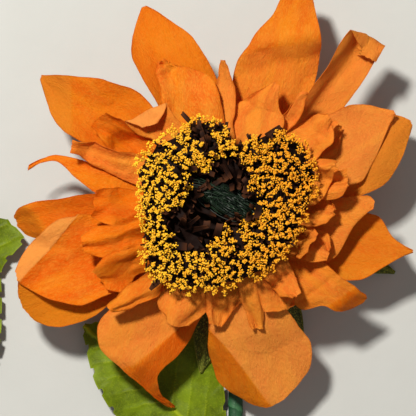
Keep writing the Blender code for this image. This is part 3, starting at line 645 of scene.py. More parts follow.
def grid_place(bm):
    """(along 0 to 1, across -1 to 1) of each point of a fresh unit grid."""
    place = np.array([v.co for v in bm.verts])
    return (place[:, 1] + 1) / 2, place[:, 0]


def move_points(bm, points):
    for vert, point in zip(bm.verts, points):
        vert.co = point


def paint_points(bm, name, values):
    """Keeps three numbers at each point, for the materials to read."""
    layer = bm.verts.layers.float_vector.new(name)
    for vert, value in zip(bm.verts, values):
        vert[layer] = value


def to_piece(bm, name, nodes, material):
    """Turns a closed bmesh in the head's millimetres into a piece that stands for these solids."""
    if bm.calc_volume(signed=True) < 0:
        bmesh.ops.reverse_faces(bm, faces=bm.faces[:])
    mesh = bpy.data.meshes.new(name)
    for vert in bm.verts:
        vert.co = (np.array(vert.co) + HEAD_AT) * MM
    bm.to_mesh(mesh)
    bm.free()
    mesh.shade_smooth()
    mesh.set_sharp_from_angle(angle=math.radians(HARD_EDGE))
    ride_root(mesh, name, nodes, material)


def ride_root(mesh, name, nodes, material):
    """Makes the mesh a piece on the root body that stands for these solids."""
    mesh.materials.append(material)
    obj = bpy.data.objects.new(name, mesh)
    bpy.context.scene.collection.objects.link(obj)
    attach(obj, "root")
    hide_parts(*nodes)


def dress_node(node, material):
    """Gives a CAD solid that stays as it is its finish."""
    obj = bpy.data.objects[node]
    obj.data.materials.clear()
    obj.data.materials.append(material)


# The pile of sheets


def heights_in_pile():
    """Lays every sheet as the CAD does, and gives how far each one rises, on its coarse grid."""
    pile = Pile(half_side=STEM_REACH + 40)
    pile.add(*arrays(tube(stem_path(6, 4), STEM_RADIUS, sides=12, bore=STEM_BORE)))
    rises = {}
    for blade, stalk in leaf_sheets():
        pile.add(*arrays(tube(stalk, STALK_RADIUS, sides=6, aside=(0, 0, 1))))
        rises[blade.name] = coarse_rise(blade, pile)
    for sheet in bract_sheets() + petal_sheets():
        rises[sheet.name] = coarse_rise(sheet, pile)
    return rises


def coarse_rise(sheet, pile):
    """How far laying the sheet raises each point of its coarse grid: (along, across, rise)."""
    bm = thick_sheet(sheet)
    bm.verts.index_update()
    before, triangles = arrays(bm)
    bm.free()
    after = lay_on(pile, before, triangles)
    along, across = coarse_rows(sheet), np.linspace(-1, 1, sheet.columns + 1)
    rise = (after - before)[: len(along) * len(across), 2].reshape(len(along), len(across))
    return along, across, rise


def rise_at(coarse, rows, columns):
    """The coarse rise read on a fine grid, with no kinks."""
    along, across, rise = coarse
    fine_along, fine_across = np.linspace(0, 1, rows + 1), np.linspace(-1, 1, columns + 1)
    part = np.array([smooth_curve(along, column, fine_along) for column in rise.T]).T
    return np.array([smooth_curve(across, row, fine_across) for row in part]).ravel()


def settle(pile, points, triangles):
    """Raises a fine sheet a little where it would touch what lies there, and adds it to the pile."""
    points = points.copy()
    clearance = FINE_GAP + settings("flower_petals").thickness / MM
    for _ in range(SETTLE_ROUNDS):
        at, amount = worst_places(pile, points, triangles, clearance, SETTLE_BLOCK)
        if not len(at):
            break
        far = (points[:, None, 0] - at[None, :, 0]) ** 2 + (points[:, None, 1] - at[None, :, 1]) ** 2
        points[:, 2] += ((amount + SETTLE_MARGIN)[None, :] * np.exp(-far / SETTLE_SPREAD**2)).max(axis=1)
    pile.add(points, triangles)
    return points


# Creases, veins and torn edges


def flat_place(sheet, along, across):
    """(distance out, distance to the side, half width) of points on the sheet before it is folded."""
    _, _, _, out, half_left, half_right = pattern_at(sheet, along)
    half = (half_left + half_right) / 2
    return out, (half_left - half_right) / 2 + across * half, half


def pleats(out, side, half, seed):
    """Soft ridges that fan out from the foot of a petal, from -1 to 1."""
    fan = side / np.maximum(half, 2.0)
    a = np.sin(fan * 4.3 + 0.9 * np.sin(out / 11 + seed) + seed * 2.1)
    b = np.sin(fan * 9.1 + 1.1 * np.sin(out / 7 - seed) + seed * 4.7)
    return (0.7 * a + 0.3 * b) * (0.6 + 0.4 * np.sin(out / 13 + 3 * seed))


def zigzags(out, side, half, seed):
    """Sharp folds that fan out from the foot of a crushed petal, with flat planes between, from -1 to 1."""
    fan = side / np.maximum(half, 2.0) + 0.3 * np.sin(out / 9 + seed)
    a = np.arcsin(0.985 * np.sin(fan * 3.1 + seed * 1.7))
    b = np.arcsin(0.97 * np.sin(fan * 5.3 + out / 8 + seed * 3.9))
    return (0.7 * a + 0.3 * b) * 2 / math.pi


def swells(out, side, size, seed):
    """Broad soft bends of about this size, from -1 to 1."""
    a = np.sin(out / size * 2.6 + 1.9 * seed + 0.8 * np.sin(side / size * 1.7 + seed))
    b = np.sin(side / size * 2.9 + 0.7 * seed + 0.9 * np.sin(out / size * 1.5 - seed))
    return 0.5 * (a + b)


def crumple(out, side, size, stretch, seed):
    """Crushed paper: hollows of this size that meet in sharp ridges, from about -1 to 1."""
    rng = np.random.default_rng(seed)
    low, high = (out.min() - size, side.min() - size), (out.max() + size, side.max() + size)
    count = int((high[0] - low[0]) * (high[1] - low[1]) / (size**2 * stretch)) + 3
    spots = rng.uniform(low, high, (count, 2))
    far = ((out[:, None] - spots[None, :, 0]) / stretch) ** 2 + (side[:, None] - spots[None, :, 1]) ** 2
    near = np.sqrt(far.min(axis=1) + (0.25 * size) ** 2) / size
    return 2.4 * (near - near.mean())


def crease(out, side, line, depth, width):
    """A sharp fold line from one point of the sheet to another, which fades past its ends."""
    (x0, y0), (x1, y1) = line
    length = math.hypot(x1 - x0, y1 - y0)
    ahead = ((x1 - x0) / length, (y1 - y0) / length)
    t = (out - x0) * ahead[0] + (side - y0) * ahead[1]
    off = np.abs(-(out - x0) * ahead[1] + (side - y0) * ahead[0])
    past = np.maximum(np.maximum(-t, t - length), 0)
    return depth * np.exp(-off / width) * np.exp(-((past / 3.0) ** 2))


def facets(out, side, count, slope, seed):
    """Flat planes that meet in straight sharp folds, as in paper that was crushed and opened again."""
    rng = np.random.default_rng(seed)
    height = np.zeros_like(out)
    for _ in range(count):
        angle, spot = rng.uniform(0, math.pi), rng.integers(len(out))
        off = (out - out[spot]) * math.cos(angle) + (side - side[spot]) * math.sin(angle)
        height += rng.choice((-1, 1)) * rng.uniform(0.5, 1.0) * slope * np.sqrt(off**2 + 0.06)
    return height - height.mean()


def bend(out, side, line, slope, width):
    """The sheet tips over along a line: what lies to the line's left, going along it, slopes up or down."""
    (x0, y0), (x1, y1) = line
    length = math.hypot(x1 - x0, y1 - y0)
    off = ((side - y0) * (x1 - x0) - (out - x0) * (y1 - y0)) / length
    return slope * (off + np.sqrt(off**2 + width**2)) / 2


def ragged(along, across, half, seed, depth):
    """Where a torn margin and tip put the outermost points: new (along, across)."""
    noise = np.sin(along * 17 + seed) + 0.6 * np.sin(along * 41 + 2 * seed) * np.sign(across)
    noise = noise + 0.35 * np.sin(along * 97 - seed) + 0.25 * np.sin(along * 203 + seed)
    margin = np.abs(across) ** 6
    across = across * (1 + margin * depth * noise / np.maximum(half, 2.5) / 2)
    tip = np.clip((along - 0.9) / 0.1, 0, 1) ** 2
    wave = np.sin(across * 9 + seed) + 0.6 * np.sin(across * 23 - seed)
    return along - tip * depth * 0.012 * (1 + wave), across


def petal_relief(sheet, out, side, half, along, across, seed, ruffled):
    """How far each point of a petal stands off its smooth shape. The small ruffled ones are crushed more."""
    look = settings("flower_petals")
    share = np.clip(along, 0, 1)
    grow = np.clip((out - 12) / 14, 0, 1)
    relief = look.pleat / MM * pleats(out, side, half, seed) * grow
    crushed, size, large, small, steep = RUFFLE_CRUSH if ruffled else OUTER_CRUSH
    deep = look.crumple / MM * crushed
    relief += look.swell / MM * swells(out, side, size, seed) * grow * (0.5 if ruffled else share)
    relief += large * deep * crumple(out, side, size, CRUSH_STRETCH, seed) * grow
    relief += small * deep * crumple(out, side, 0.45 * size, CRUSH_STRETCH, seed + 91) * grow
    if ruffled and sheet.name not in UNCREASED:
        relief += ZIGZAG_HEIGHT * zigzags(out, side, half, seed) * np.clip((out - 14) / 16, 0, 1)
    if sheet.name not in UNCREASED:
        planes = facets(out, side, PLANES, steep * look.crumple / MM, seed + 57)
        relief += np.clip(planes, -PLANES_REACH, PLANES_REACH) * grow
    curl = np.abs(across) ** 5 * (0.5 + share)
    relief += look.edge_wave / MM * curl * np.sin(out / 3.1 + np.sign(across) * 1.3 + seed)
    for line, depth, width in CREASES.get(sheet.name, ()):
        relief += crease(out, side, line, depth, width)
    for line, slope, width in BENDS.get(sheet.name, ()):
        relief += bend(out, side, line, slope, width)
    return relief


# How the paper is crushed, of the wide outer petals and of the small ruffled ones: the share of the panel's
# crumple depth, the hollows' size, how much of the large and of the small hollows shows, the planes' slope
OUTER_CRUSH = (0.22, 15.0, 0.45, 0.2, 0.12)
RUFFLE_CRUSH = (1.0, 11.0, 0.12, 0.08, 0.34)
CRUSH_STRETCH = 1.6
PLANES = 4
PLANES_REACH = 2.5
ZIGZAG_HEIGHT = 1.5

# How far crushing pushes a ruffle's paper aside
RUFFLE_SHIFT = 0.9

# The creases that show in the photograph: (from, to) in the sheet's (out, side) millimetres, height, width
CREASES = {
    "petal_lower_right": ((((46.6, 2.3), (40.4, -14.6)), 0.6, 0.8),),
}

# Petals that are rolled too tightly for chance folds
UNCREASED = ("petal_scroll", "petal_left_hook", "ruffle_top_point", "ruffle_fold")

# Lines over which a petal tips: (from, to), slope of what lies to the left, width of the bend
BENDS = {
    "petal_top_left": ((((55.8, 1.7), (70.7, 9.5)), -0.3, 0.6),),
}

# Golden dye and painted light: (golden, pale) of a petal, then of what lies beyond its first fold. Golden is
# the paper's own tone; pale above 0 is a painted highlight on faces turned to the lamp, and below 0, pale is
# deep: painted shade on faces turned away
DYES_AND_PAINTED_LIGHT = {
    "petal_left_top": (0.35, -0.15, 0.8, 0.1),
    "petal_top_left": (0.55, -0.25),
    "petal_top": (0.2, 0.2, 0.25, 0.05),
    "petal_scroll": (0.3, 0.4),
    "petal_right_top_back": (0.85, 0.2),
    "petal_right_top": (0.1, 0.5),
    "petal_right_low": (0.45, 0.05),
    "petal_right": (0.1, 0.35),
    "petal_lower_right": (0.1, 0.2, 0.2, -0.4),
    "petal_bottom": (0.05, 0.6, 0.55, -0.15),
    "petal_left_low_back": (0.9, 0.0),
    "petal_left": (0.0, -0.5, 0.6, 0.0),
    "petal_left_low": (0.0, -0.3, 0.2, 0.9),
    "petal_lower_left": (0.1, 0.4, 0.05, -0.6),
    "petal_left_hook": (0.0, -0.2),
    "ruffle_left_top": (0.0, -0.35),
    "ruffle_left_high": (0.0, 0.25),
    "ruffle_left": (0.0, -0.45),
    "ruffle_left_low": (0.0, -0.35),
    "ruffle_lower_left": (0.1, -0.2),
    "ruffle_lower_left_low": (0.3, 0.1),
    "ruffle_fold": (0.1, 0.3, 0.1, 0.9),
    "ruffle_top_left": (0.0, 0.1),
    "ruffle_top_point": (0.3, 0.4),
}
PLAIN_DYE_AND_PAINTED_LIGHT = (0.15, 0.3)


def dye_and_painted_light_of(sheet, out, side):
    """(golden, pale) at each point of a petal: the paper's golden tone, and painted light, a painted
    highlight above 0 and painted shade below 0.
    """
    dye = DYES_AND_PAINTED_LIGHT.get(sheet.name, PLAIN_DYE_AND_PAINTED_LIGHT)
    near, far = dye[:2], dye[-2:]
    share = np.zeros_like(out)
    if sheet.folds:
        fold = sheet.folds[0]
        toward = math.radians(fold.toward)
        past = (out - fold.out) * math.cos(toward) + (side - fold.side) * math.sin(toward)
        share = np.clip(past / 0.8 + 0.5, 0, 1)
    return [a + share * (b - a) for a, b in zip(near, far)]


def leaf_relief(out, side, across, seed):
    """(relief, how much of a vein runs here)."""
    look = settings("flower_greens")
    rib = np.exp(-((side / 0.7) ** 2))
    spacing = look.vein_spacing / MM
    spread = np.mod((out - 0.75 * np.abs(side)) + 0.5 * spacing * (side > 0), spacing)
    spread = np.minimum(spread, spacing - spread)
    branch = np.exp(-((spread / 0.45) ** 2)) * np.clip(1 - np.abs(across) ** 3, 0, 1)
    vein = np.maximum(rib, 0.65 * branch)
    relief = -look.vein_depth / MM * vein + 0.5 * crumple(out, side, 9.0, 1.4, seed)
    relief += 0.8 * np.abs(across) ** 4 * np.sin(out / 4.3 + seed + np.sign(across))
    return relief, vein


def cut_finely(sheet, rise, cut, seed, kind):
    """A bmesh of the sheet with its creases, settled on the pile, and with its paper's thickness."""
    rows, columns = cut
    bm = bmesh.new()
    bmesh.ops.create_grid(bm, x_segments=columns, y_segments=rows, size=1.0)
    along, across = grid_place(bm)
    out, side, half = flat_place(sheet, along, across)
    torn_along, torn_across = along, across
    vein = np.zeros_like(out)
    if kind in ("petal", "ruffle"):
        torn_along, torn_across = ragged(along, across, half, seed, settings("flower_petals").torn / MM)
        relief = petal_relief(sheet, out, side, half, along, across, seed, kind == "ruffle")
    else:
        relief, vein = leaf_relief(out, side, across, seed)
    points = sheet_points(sheet, torn_along, torn_across)
    if kind == "ruffle":
        loose = np.clip((out - 20) / 10, 0, 1) * RUFFLE_SHIFT
        points[:, 0] += loose * crumple(out, side, 9.0, 1.0, seed + 17)
        points[:, 1] += loose * crumple(out, side, 9.0, 1.0, seed + 43)
    points[:, 2] += rise_at(rise, rows, columns)
    move_points(bm, points)
    bm.normal_update()
    normals = np.array([v.normal for v in bm.verts])
    points = points + normals * relief[:, None]
    grid_triangles = grid_faces(bm)
    points = settle(FINE_PILE, points, grid_triangles)
    move_points(bm, points)
    edge = np.exp(-(1 - np.abs(across)) * half / 0.8)
    paint_points(bm, "sheet", np.stack([out / 10, side / 10, np.full_like(out, seed * 0.37)], axis=-1))
    paint_points(bm, "mark", np.stack([edge, along, vein], axis=-1))
    if kind in ("petal", "ruffle"):
        # The petal's golden tone, and its painted highlight and painted shade
        paint_points(bm, "dye", np.stack([*dye_and_painted_light_of(sheet, out, side), 0 * out], axis=-1))
    thicken(bm, points, settings("flower_petals").thickness / MM)
    return bm


def thicken(bm, points, thickness):
    """Gives the sheet a second skin at this distance, which stays even round the tightest folds."""
    number = bm.verts.layers.int.new("number")
    for index, vert in enumerate(bm.verts):
        vert[number] = index
    bm.normal_update()
    normals = np.array([v.normal for v in bm.verts])
    bmesh.ops.solidify(bm, geom=bm.faces[:], thickness=thickness)
    for index, vert in enumerate(bm.verts):
        source = vert[number]
        vert.co = points[source] - (thickness * normals[source] if index >= len(points) else 0)
    bm.verts.layers.int.remove(number)


def grid_faces(bm):
    """The grid's faces, each as two triangles."""
    bm.verts.index_update()
    corners = np.array([[v.index for v in f.verts] for f in bm.faces])
    return np.concatenate([corners[:, (0, 1, 2)], corners[:, (0, 2, 3)]])


# The sheets of the part, as the CAD cuts them


def leaf_sheets():
    """(blade, its stalk's path) of both leaves."""
    made = []
    for side, base, direction, ribs, stalk in LEAVES:
        blade = Sheet(f"leaf_{side}", direction, ribs, rise=(2.5, 4), cup=(1.5, 2), rows=LEAF_ROWS,
                      columns=LEAF_COLUMNS, base_half=4.0, foot=LEAF_HEIGHT, start=0.0, teeth=LEAF_TEETH,
                      middle=base)
        blade = cut_at_scale(blade, LEAF_SCALE)
        rib = sheet_points(blade, np.linspace(0.04, 0.8, 7), np.zeros(7))
        under = PAPER + STALK_RADIUS + GAP
        path = [(STEM_OFFSET - STEM_RADIUS - 1.2 * GAP, stalk[0][1], STEM_RADIUS)]
        path += [(x, y, STALK_RADIUS) for x, y in stalk]
        path += [(x, y, max(z - under, STALK_RADIUS)) for x, y, z in rib]
        made.append((blade, path))
    return made


def bract_sheets():
    made = []
    for number, (direction, length) in enumerate(BRACTS, start=1):
        widest = (0.55 * length, BRACT_HALF, BRACT_HALF)
        ribs = ((20, 6.5, 6.5), widest, (0.8 * length, 5, 5), (length, 0.6, 0.6))
        made.append(Sheet(f"bract_{number}", direction, ribs, rise=(-6, -BRACT_FOOT), cup=(-1, 0.5),
                          rows=BRACT_ROWS, columns=2, base_half=BRACT_BASE_HALF, foot=BRACT_FOOT, hub=-0.8,
                          start=CALYX_RADIUS + GAP))
    return made


def petal_sheets():
    coarse = {"rows": INNER_ROWS, "columns": INNER_COLUMNS, "base_half": INNER_BASE_HALF}
    return list(OUTER_PETALS) + [replace(sheet, **coarse) for sheet in INNER_PETALS]


# Materials


def add_node(tree, kind, options=None, **inputs):
    """A node with its options and inputs set. An input is a value or another node's socket."""
    made = tree.nodes.new(kind)
    for key, value in (options or {}).items():
        setattr(made, key, value)
    for key, value in inputs.items():
        socket = made.inputs[int(key[1:])] if key[0] == "_" else made.inputs[key.replace("_", " ")]
        if isinstance(value, bpy.types.NodeSocket):
            tree.links.new(value, socket)
        else:
            socket.default_value = value
    return made


def new_material(name, roughness, specular=0.3):
    made = bpy.data.materials.new(name)
    made.use_nodes = True
    tree = made.node_tree
    shader = tree.nodes["Principled BSDF"]
    shader.inputs["Roughness"].default_value = roughness
    shader.inputs["Specular IOR Level"].default_value = specular
    return made, tree, shader


def pattern(tree, vector, scale, detail=3.0, roughness=0.55):
    """Noise on a vector stretched by scale."""
    mapped = add_node(tree, "ShaderNodeMapping", Vector=vector, Scale=scale)
    return add_node(tree, "ShaderNodeTexNoise", Vector=mapped.outputs[0], Scale=1.0, Detail=detail,
                    Roughness=roughness).outputs[0]


def mixed(tree, share, first, second):
    """A colour between two colours or sockets."""
    made = tree.nodes.new("ShaderNodeMix")
    made.data_type = "RGBA"
    made.clamp_factor = True
    for socket, value in ((made.inputs[0], share), (made.inputs[6], first), (made.inputs[7], second)):
        if isinstance(value, bpy.types.NodeSocket):
            tree.links.new(value, socket)
        elif socket.type == "RGBA":
            socket.default_value = (*value[:3], 1)
        else:
            socket.default_value = value
    return made.outputs[2]


def span(tree, value, low, high, to_low=0.0, to_high=1.0):
    """The value's range from low to high, spread over another range."""
    made = add_node(tree, "ShaderNodeMapRange", _0=value)
    for index, amount in enumerate((low, high, to_low, to_high), start=1):
        made.inputs[index].default_value = amount
    return made.outputs[0]


def bump(tree, height, strength, distance, normal=None):
    made = add_node(tree, "ShaderNodeBump", Strength=strength, Distance=distance, Height=height)
    if normal is not None:
        tree.links.new(normal, made.inputs["Normal"])
    return made.outputs[0]


def finish(tree, shader, color, normal):
    tree.links.new(color, shader.inputs["Base Color"])
    tree.links.new(normal, shader.inputs["Normal"])


def object_place(tree):
    return add_node(tree, "ShaderNodeTexCoord").outputs["Object"]


def sheet_and_mark(tree):
    """(place on the flat sheet, the three marks) that were painted on the points."""
    return read_points(tree, "sheet"), parts(tree, read_points(tree, "mark"))


def read_points(tree, name):
    return add_node(tree, "ShaderNodeAttribute", {"attribute_name": name}).outputs["Vector"]


def parts(tree, vector):
    return add_node(tree, "ShaderNodeSeparateXYZ", Vector=vector).outputs


def petal_material(name):
    """Dyed crepe: fine fibres along the petal, dyed streaks and blotches, a painted highlight and painted
    shade on chosen faces, painted shade towards the foot, and light shining through.
    """
    look = settings("flower_petals")
    made, tree, shader = new_material(name, roughness=0.6, specular=0.1)
    sheet, (edge, reach, _) = sheet_and_mark(tree)
    fibres = pattern(tree, sheet, (9, 26, 1), detail=4.0, roughness=0.65)
    specks = pattern(tree, sheet, (45, 60, 1), detail=2.0)
    streaks = pattern(tree, sheet, (0.5, 2.2, 1), detail=3.0)
    blotches = pattern(tree, sheet, (1.4, 1.9, 1), detail=5.0, roughness=0.6)
    color = mixed(tree, span(tree, streaks, 0.38, 0.66), look.deep_streak_and_shade_colour, look.paper_colour)
    color = mixed(tree, span(tree, blotches, 0.48, 0.7, 0, 0.25), color, look.light_colour)
    color = mixed(tree, span(tree, fibres, 0.45, 0.7, 0, 0.5), color, look.light_colour)
    color = mixed(tree, span(tree, specks, 0.44, 0.28, 0, 0.6), color, look.speck_colour)
    # Golden is the paper's own tone; the second mark is painted light: a painted highlight above 0, painted
    # shade below 0
    golden, painted_light_share, _ = parts(tree, read_points(tree, "dye"))
    color = mixed(tree, span(tree, golden, 0.0, 1.0, 0, 0.85), color, look.golden_colour)
    color = mixed(tree, span(tree, painted_light_share, 0.0, 1.0, 0, 0.85), color, look.painted_highlight_colour)
    color = mixed(tree, span(tree, painted_light_share, 0.0, -1.0, 0, 0.85), color, look.deep_streak_and_shade_colour)
    # Painted shade: darker towards the petal's foot, which runs in under the middle
    color = mixed(tree, span(tree, reach, 0.4, 0.0, 0, 0.6), color, look.deep_streak_and_shade_colour)
    color = mixed(tree, span(tree, edge, 0.55, 1.0, 0, 0.55), color, look.speck_colour)
    normal = bump(tree, specks, 0.6, 0.00025)
    normal = bump(tree, fibres, 0.8, 0.0006, normal)
    normal = bump(tree, blotches, 0.6, 0.0016, normal)
    finish(tree, shader, color, normal)
    through = add_node(tree, "ShaderNodeBsdfTranslucent", Color=mixed(tree, 0.8, color, look.deep_streak_and_shade_colour))
    tree.links.new(normal, through.inputs["Normal"])
    both = add_node(tree, "ShaderNodeMixShader", _0=look.see_through, _1=shader.outputs[0],
                    _2=through.outputs[0])
    tree.links.new(both.outputs[0], tree.nodes["Material Output"].inputs["Surface"])
    return made


def fringe_material(name):
    """Near black paper with brown streaks, and paler torn tips. Strips with a low tint stay near black, as
    painted shade down in the crust of crumbs.
    """
    look = settings("flower_middle")
    made, tree, shader = new_material(name, roughness=0.65, specular=0.06)
    sheet, (tip, tint, _) = sheet_and_mark(tree)
    streaks = pattern(tree, sheet, (1.5, 30, 1), detail=4.0)
    color = mixed(tree, span(tree, streaks, 0.35, 0.7), look.fringe_colour, look.fringe_light)
    # A low tint paints the strip near black: painted shade for the strips down in the crust
    color = mixed(tree, span(tree, tint, 0.2, 1.0, 0, 0.8), look.fringe_colour, color)
    color = mixed(tree, span(tree, tip, 0.75, 1.0, 0, 0.5), color, look.fringe_light)
    finish(tree, shader, color, bump(tree, streaks, 0.5, 0.0002))
    return made


def crumb_material(name):
    """Sawdust-like crumbs, from lemon to orange; the orange also serves as painted shade on the side away
    from the lamp.
    """
    look = settings("flower_middle")
    made, tree, shader = new_material(name, roughness=0.85, specular=0.08)
    tint, orange, _ = parts(tree, read_points(tree, "mark"))
    place = object_place(tree)
    specks = pattern(tree, place, (3000, 3000, 3000), detail=2.0)
    color = mixed(tree, tint, look.crumb_deep, look.crumb_colour)
    color = mixed(tree, span(tree, specks, 0.45, 0.7, 0, 0.5), color, look.crumb_light)
    color = mixed(tree, orange, color, look.crumb_orange_and_shade)
    finish(tree, shader, color, bump(tree, specks, 0.6, 0.00015))
    return made


def green_material(name, color, light, roughness, speckle, vein_share):
    """Dyed green paper with blotches, specks and paler veins."""
    made, tree, shader = new_material(name, roughness=roughness, specular=0.15)
    sheet, (edge, reach, vein) = sheet_and_mark(tree)
    blotches = pattern(tree, sheet, (1.3, 1.6, 1), detail=4.0)
    specks = pattern(tree, sheet, (16, 22, 1), detail=3.0)
    dark = [0.45 * part for part in color]
    base = mixed(tree, span(tree, blotches, 0.35, 0.68), dark, color)
    base = mixed(tree, span(tree, specks, 0.5, 0.7, 0, speckle), base, light)
    base = mixed(tree, span(tree, vein, 0.25, 1.0, 0, vein_share), base, light)
    base = mixed(tree, span(tree, edge, 0.4, 1.0, 0, 0.25), base, light)
    finish(tree, shader, base, bump(tree, blotches, 0.3, 0.0008, bump(tree, specks, 0.4, 0.0002)))
    return made


def wound_material(name, color, light):
    """Stretched floral tape: fine ridges across it, and a paler line where each turn overlaps the last."""
    made, tree, shader = new_material(name, roughness=0.55, specular=0.4)
    sheet, (lap, _, _) = sheet_and_mark(tree)
    ridges = pattern(tree, sheet, (30, 3, 1), detail=4.0)
    blotches = pattern(tree, sheet, (1.2, 1.2, 1), detail=3.0)
    base = mixed(tree, span(tree, blotches, 0.3, 0.7), [0.6 * part for part in color], color)
    base = mixed(tree, span(tree, ridges, 0.5, 0.75, 0, 0.5), base, light)
    base = mixed(tree, span(tree, lap, 0.6, 1.0, 0, 0.6), base, light)
    finish(tree, shader, base, bump(tree, ridges, 0.6, 0.00025))
    return made


def fibre_material(name):
    look = settings("flower_middle")
    made, tree, shader = new_material(name, roughness=0.5, specular=0.4)
    _, tint, _ = parts(tree, read_points(tree, "mark"))
    place = object_place(tree)
    specks = pattern(tree, place, (1500, 1500, 1500))
    color = mixed(tree, tint, look.tuft_colour, look.tuft_light)
    color = mixed(tree, span(tree, specks, 0.5, 0.7, 0, 0.4), color, look.tuft_light)
    finish(tree, shader, color, bump(tree, specks, 0.3, 0.0001))
    return made


def wire_material(name):
    """Drawn iron wire: fine scratches along it and a few dull spots."""
    made, tree, shader = new_material(name, roughness=0.35, specular=0.5)
    shader.inputs["Metallic"].default_value = 1.0
    place = object_place(tree)
    scratches = pattern(tree, place, (4000, 120, 4000), detail=4.0)
    spots = pattern(tree, place, (900, 900, 900))
    color = mixed(tree, span(tree, spots, 0.45, 0.7), WIRE_COLOUR, WIRE_DULL)
    tree.links.new(span(tree, scratches, 0.3, 0.7, 0.25, 0.5), shader.inputs["Roughness"])
    finish(tree, shader, color, bump(tree, scratches, 0.2, 0.00005))
    return made


# Small shapes that are repeated many times


def copies(shape, turns, places):
    """(vertices, triangles) of one small shape set at many places, each with its own turn and stretch."""
    vertices, triangles = shape
    all_vertices = np.einsum("nij,vj->nvi", turns, vertices) + places[:, None, :]
    all_triangles = triangles[None, :, :] + (np.arange(len(places)) * len(vertices))[:, None, None]
    return all_vertices.reshape(-1, 3), all_triangles.reshape(-1, 3)


def joined(shapes):
    """Several (vertices, triangles, sheet marks, point marks) as one."""
    vertices, triangles, sheet, mark, count = [], [], [], [], 0
    for shape in shapes:
        vertices.append(shape[0])
        triangles.append(shape[1] + count)
        sheet.append(shape[2])
        mark.append(shape[3])
        count += len(shape[0])
    return tuple(np.concatenate(part) for part in (vertices, triangles, sheet, mark))


def shapes_to_piece(shape, name, nodes, material, smooth=True):
    vertices, triangles, sheet, mark = shape
    mesh = bpy.data.meshes.new(name)
    mesh.from_pydata(((vertices + HEAD_AT) * MM).tolist(), [], triangles.tolist())
    for layer, values in (("sheet", sheet), ("mark", mark)):
        mesh.attributes.new(layer, "FLOAT_VECTOR", "POINT").data.foreach_set("vector", values.ravel())
    if smooth:
        mesh.shade_smooth()
        mesh.set_sharp_from_angle(angle=math.radians(HARD_EDGE))
    ride_root(mesh, name, nodes, material)


def random_turns(rng, count):
    turns = np.linalg.qr(rng.normal(size=(count, 3, 3)))[0]
    return turns * np.sign(np.linalg.det(turns))[:, None, None]


def crumb_grain(rng):
    """One lumpy crumb of about unit radius."""
    bm = bmesh.new()
    bmesh.ops.create_icosphere(bm, subdivisions=1, radius=1.0)
    for vert in bm.verts:
        vert.co *= rng.uniform(0.75, 1.2)
    shape = arrays(bm)
    bm.free()
    return shape


def fringe_strip(bend, twist, taper):
    """A paper strip of unit length that stands up from the origin and curls over towards +X."""
    rows = 7
    bm = bmesh.new()
    bmesh.ops.create_grid(bm, x_segments=2, y_segments=rows, size=1.0)
    along, across = grid_place(bm)
    angle = bend * along**1.4
    step = 1 / rows
    path_angle = np.linspace(0, 1, rows + 1)
    lean = bend * path_angle**1.4
    x = np.concatenate([[0], np.cumsum(np.sin((lean[1:] + lean[:-1]) / 2) * step)])
    z = np.concatenate([[0], np.cumsum(np.cos((lean[1:] + lean[:-1]) / 2) * step)])
    row = np.round(along * rows).astype(int)
    wide = STRIP_WIDTH / 2 * (1 - taper * along) * across
    roll = twist * along
    cup = 0.03 * across**2
    points = np.stack([
        x[row] + (wide * np.sin(roll) - cup) * np.cos(angle),
        wide * np.cos(roll),
        z[row] - (wide * np.sin(roll) - cup) * np.sin(angle),
    ], axis=-1)
    move_points(bm, points)
    sheet = np.stack([along, across * 0.1, np.zeros_like(along)], axis=-1)
    bm.normal_update()
    bmesh.ops.solidify(bm, geom=bm.faces[:], thickness=STRIP_THICKNESS)
    face_out(bm)
    vertices, triangles = arrays(bm)
    bm.free()
    return vertices, triangles, np.concatenate([sheet, sheet])


def surface_of(node):
    """The CAD solid's surface, to find heights on, in the head's millimetres."""
    mesh = bpy.data.objects[node].data
    vertices = [Vector(np.array(v.co) / MM - HEAD_AT) for v in mesh.vertices]
    return BVHTree.FromPolygons(vertices, [tuple(p.vertices) for p in mesh.polygons])


def height_on(surfaces, x, y, otherwise=None):
    """(height, which surface) of the highest point above (x, y)."""
    best, which = otherwise, None
    for name, surface in surfaces.items():
        hit = surface.ray_cast(Vector((x, y, 100)), Vector((0, 0, -1)))[0]
        if hit is not None and (best is None or hit.z > best):
            best, which = hit.z, name
    return best, which


def spaced_places(rng, reach, spacing, tries, allowed):
    """Random allowed places within a square of this reach, at least this far apart."""
    kept = np.zeros((0, 2))
    found = []
    for place in rng.uniform(-reach, reach, (tries, 2)):
        if len(kept) and (((kept - place) ** 2).sum(axis=1) < spacing**2).any():
            continue
        result = allowed(*place)
        if result is None:
            continue
        kept = np.vstack([kept, place])
        found.append((*place, *result))
    return found


def in_bare_patch(x, y):
    return any(math.hypot(x - bx, y - by) < radius for bx, by, radius in BARE_PATCHES)


def turn_to(azimuth, lean=0.0):
    """Turns a shape's +X to the azimuth, after leaning it over towards +X."""
    ca, sa, cl, sl = np.cos(azimuth), np.sin(azimuth), np.cos(lean), np.sin(lean)
    zero, one = np.zeros_like(ca), np.ones_like(ca)
    leaned = ((cl, zero, sl), (zero, one, zero), (-sl, zero, cl))
    turned = ((ca, -sa, zero), (sa, ca, zero), (zero, zero, one))
    leaned, turned = (np.stack([np.stack(row, -1) for row in rows], -2) for rows in (leaned, turned))
    return turned @ leaned


# What the panel shows


def length(name, description, default, **more):
    return bpy.props.FloatProperty(name=name, description=description, default=default, precision=5,
                                   unit="LENGTH", min=0.0, **more)


def colour(name, description, default):
    return bpy.props.FloatVectorProperty(name=name, description=description, default=default, subtype="COLOR",
                                         size=3, min=0.0, max=1.0)


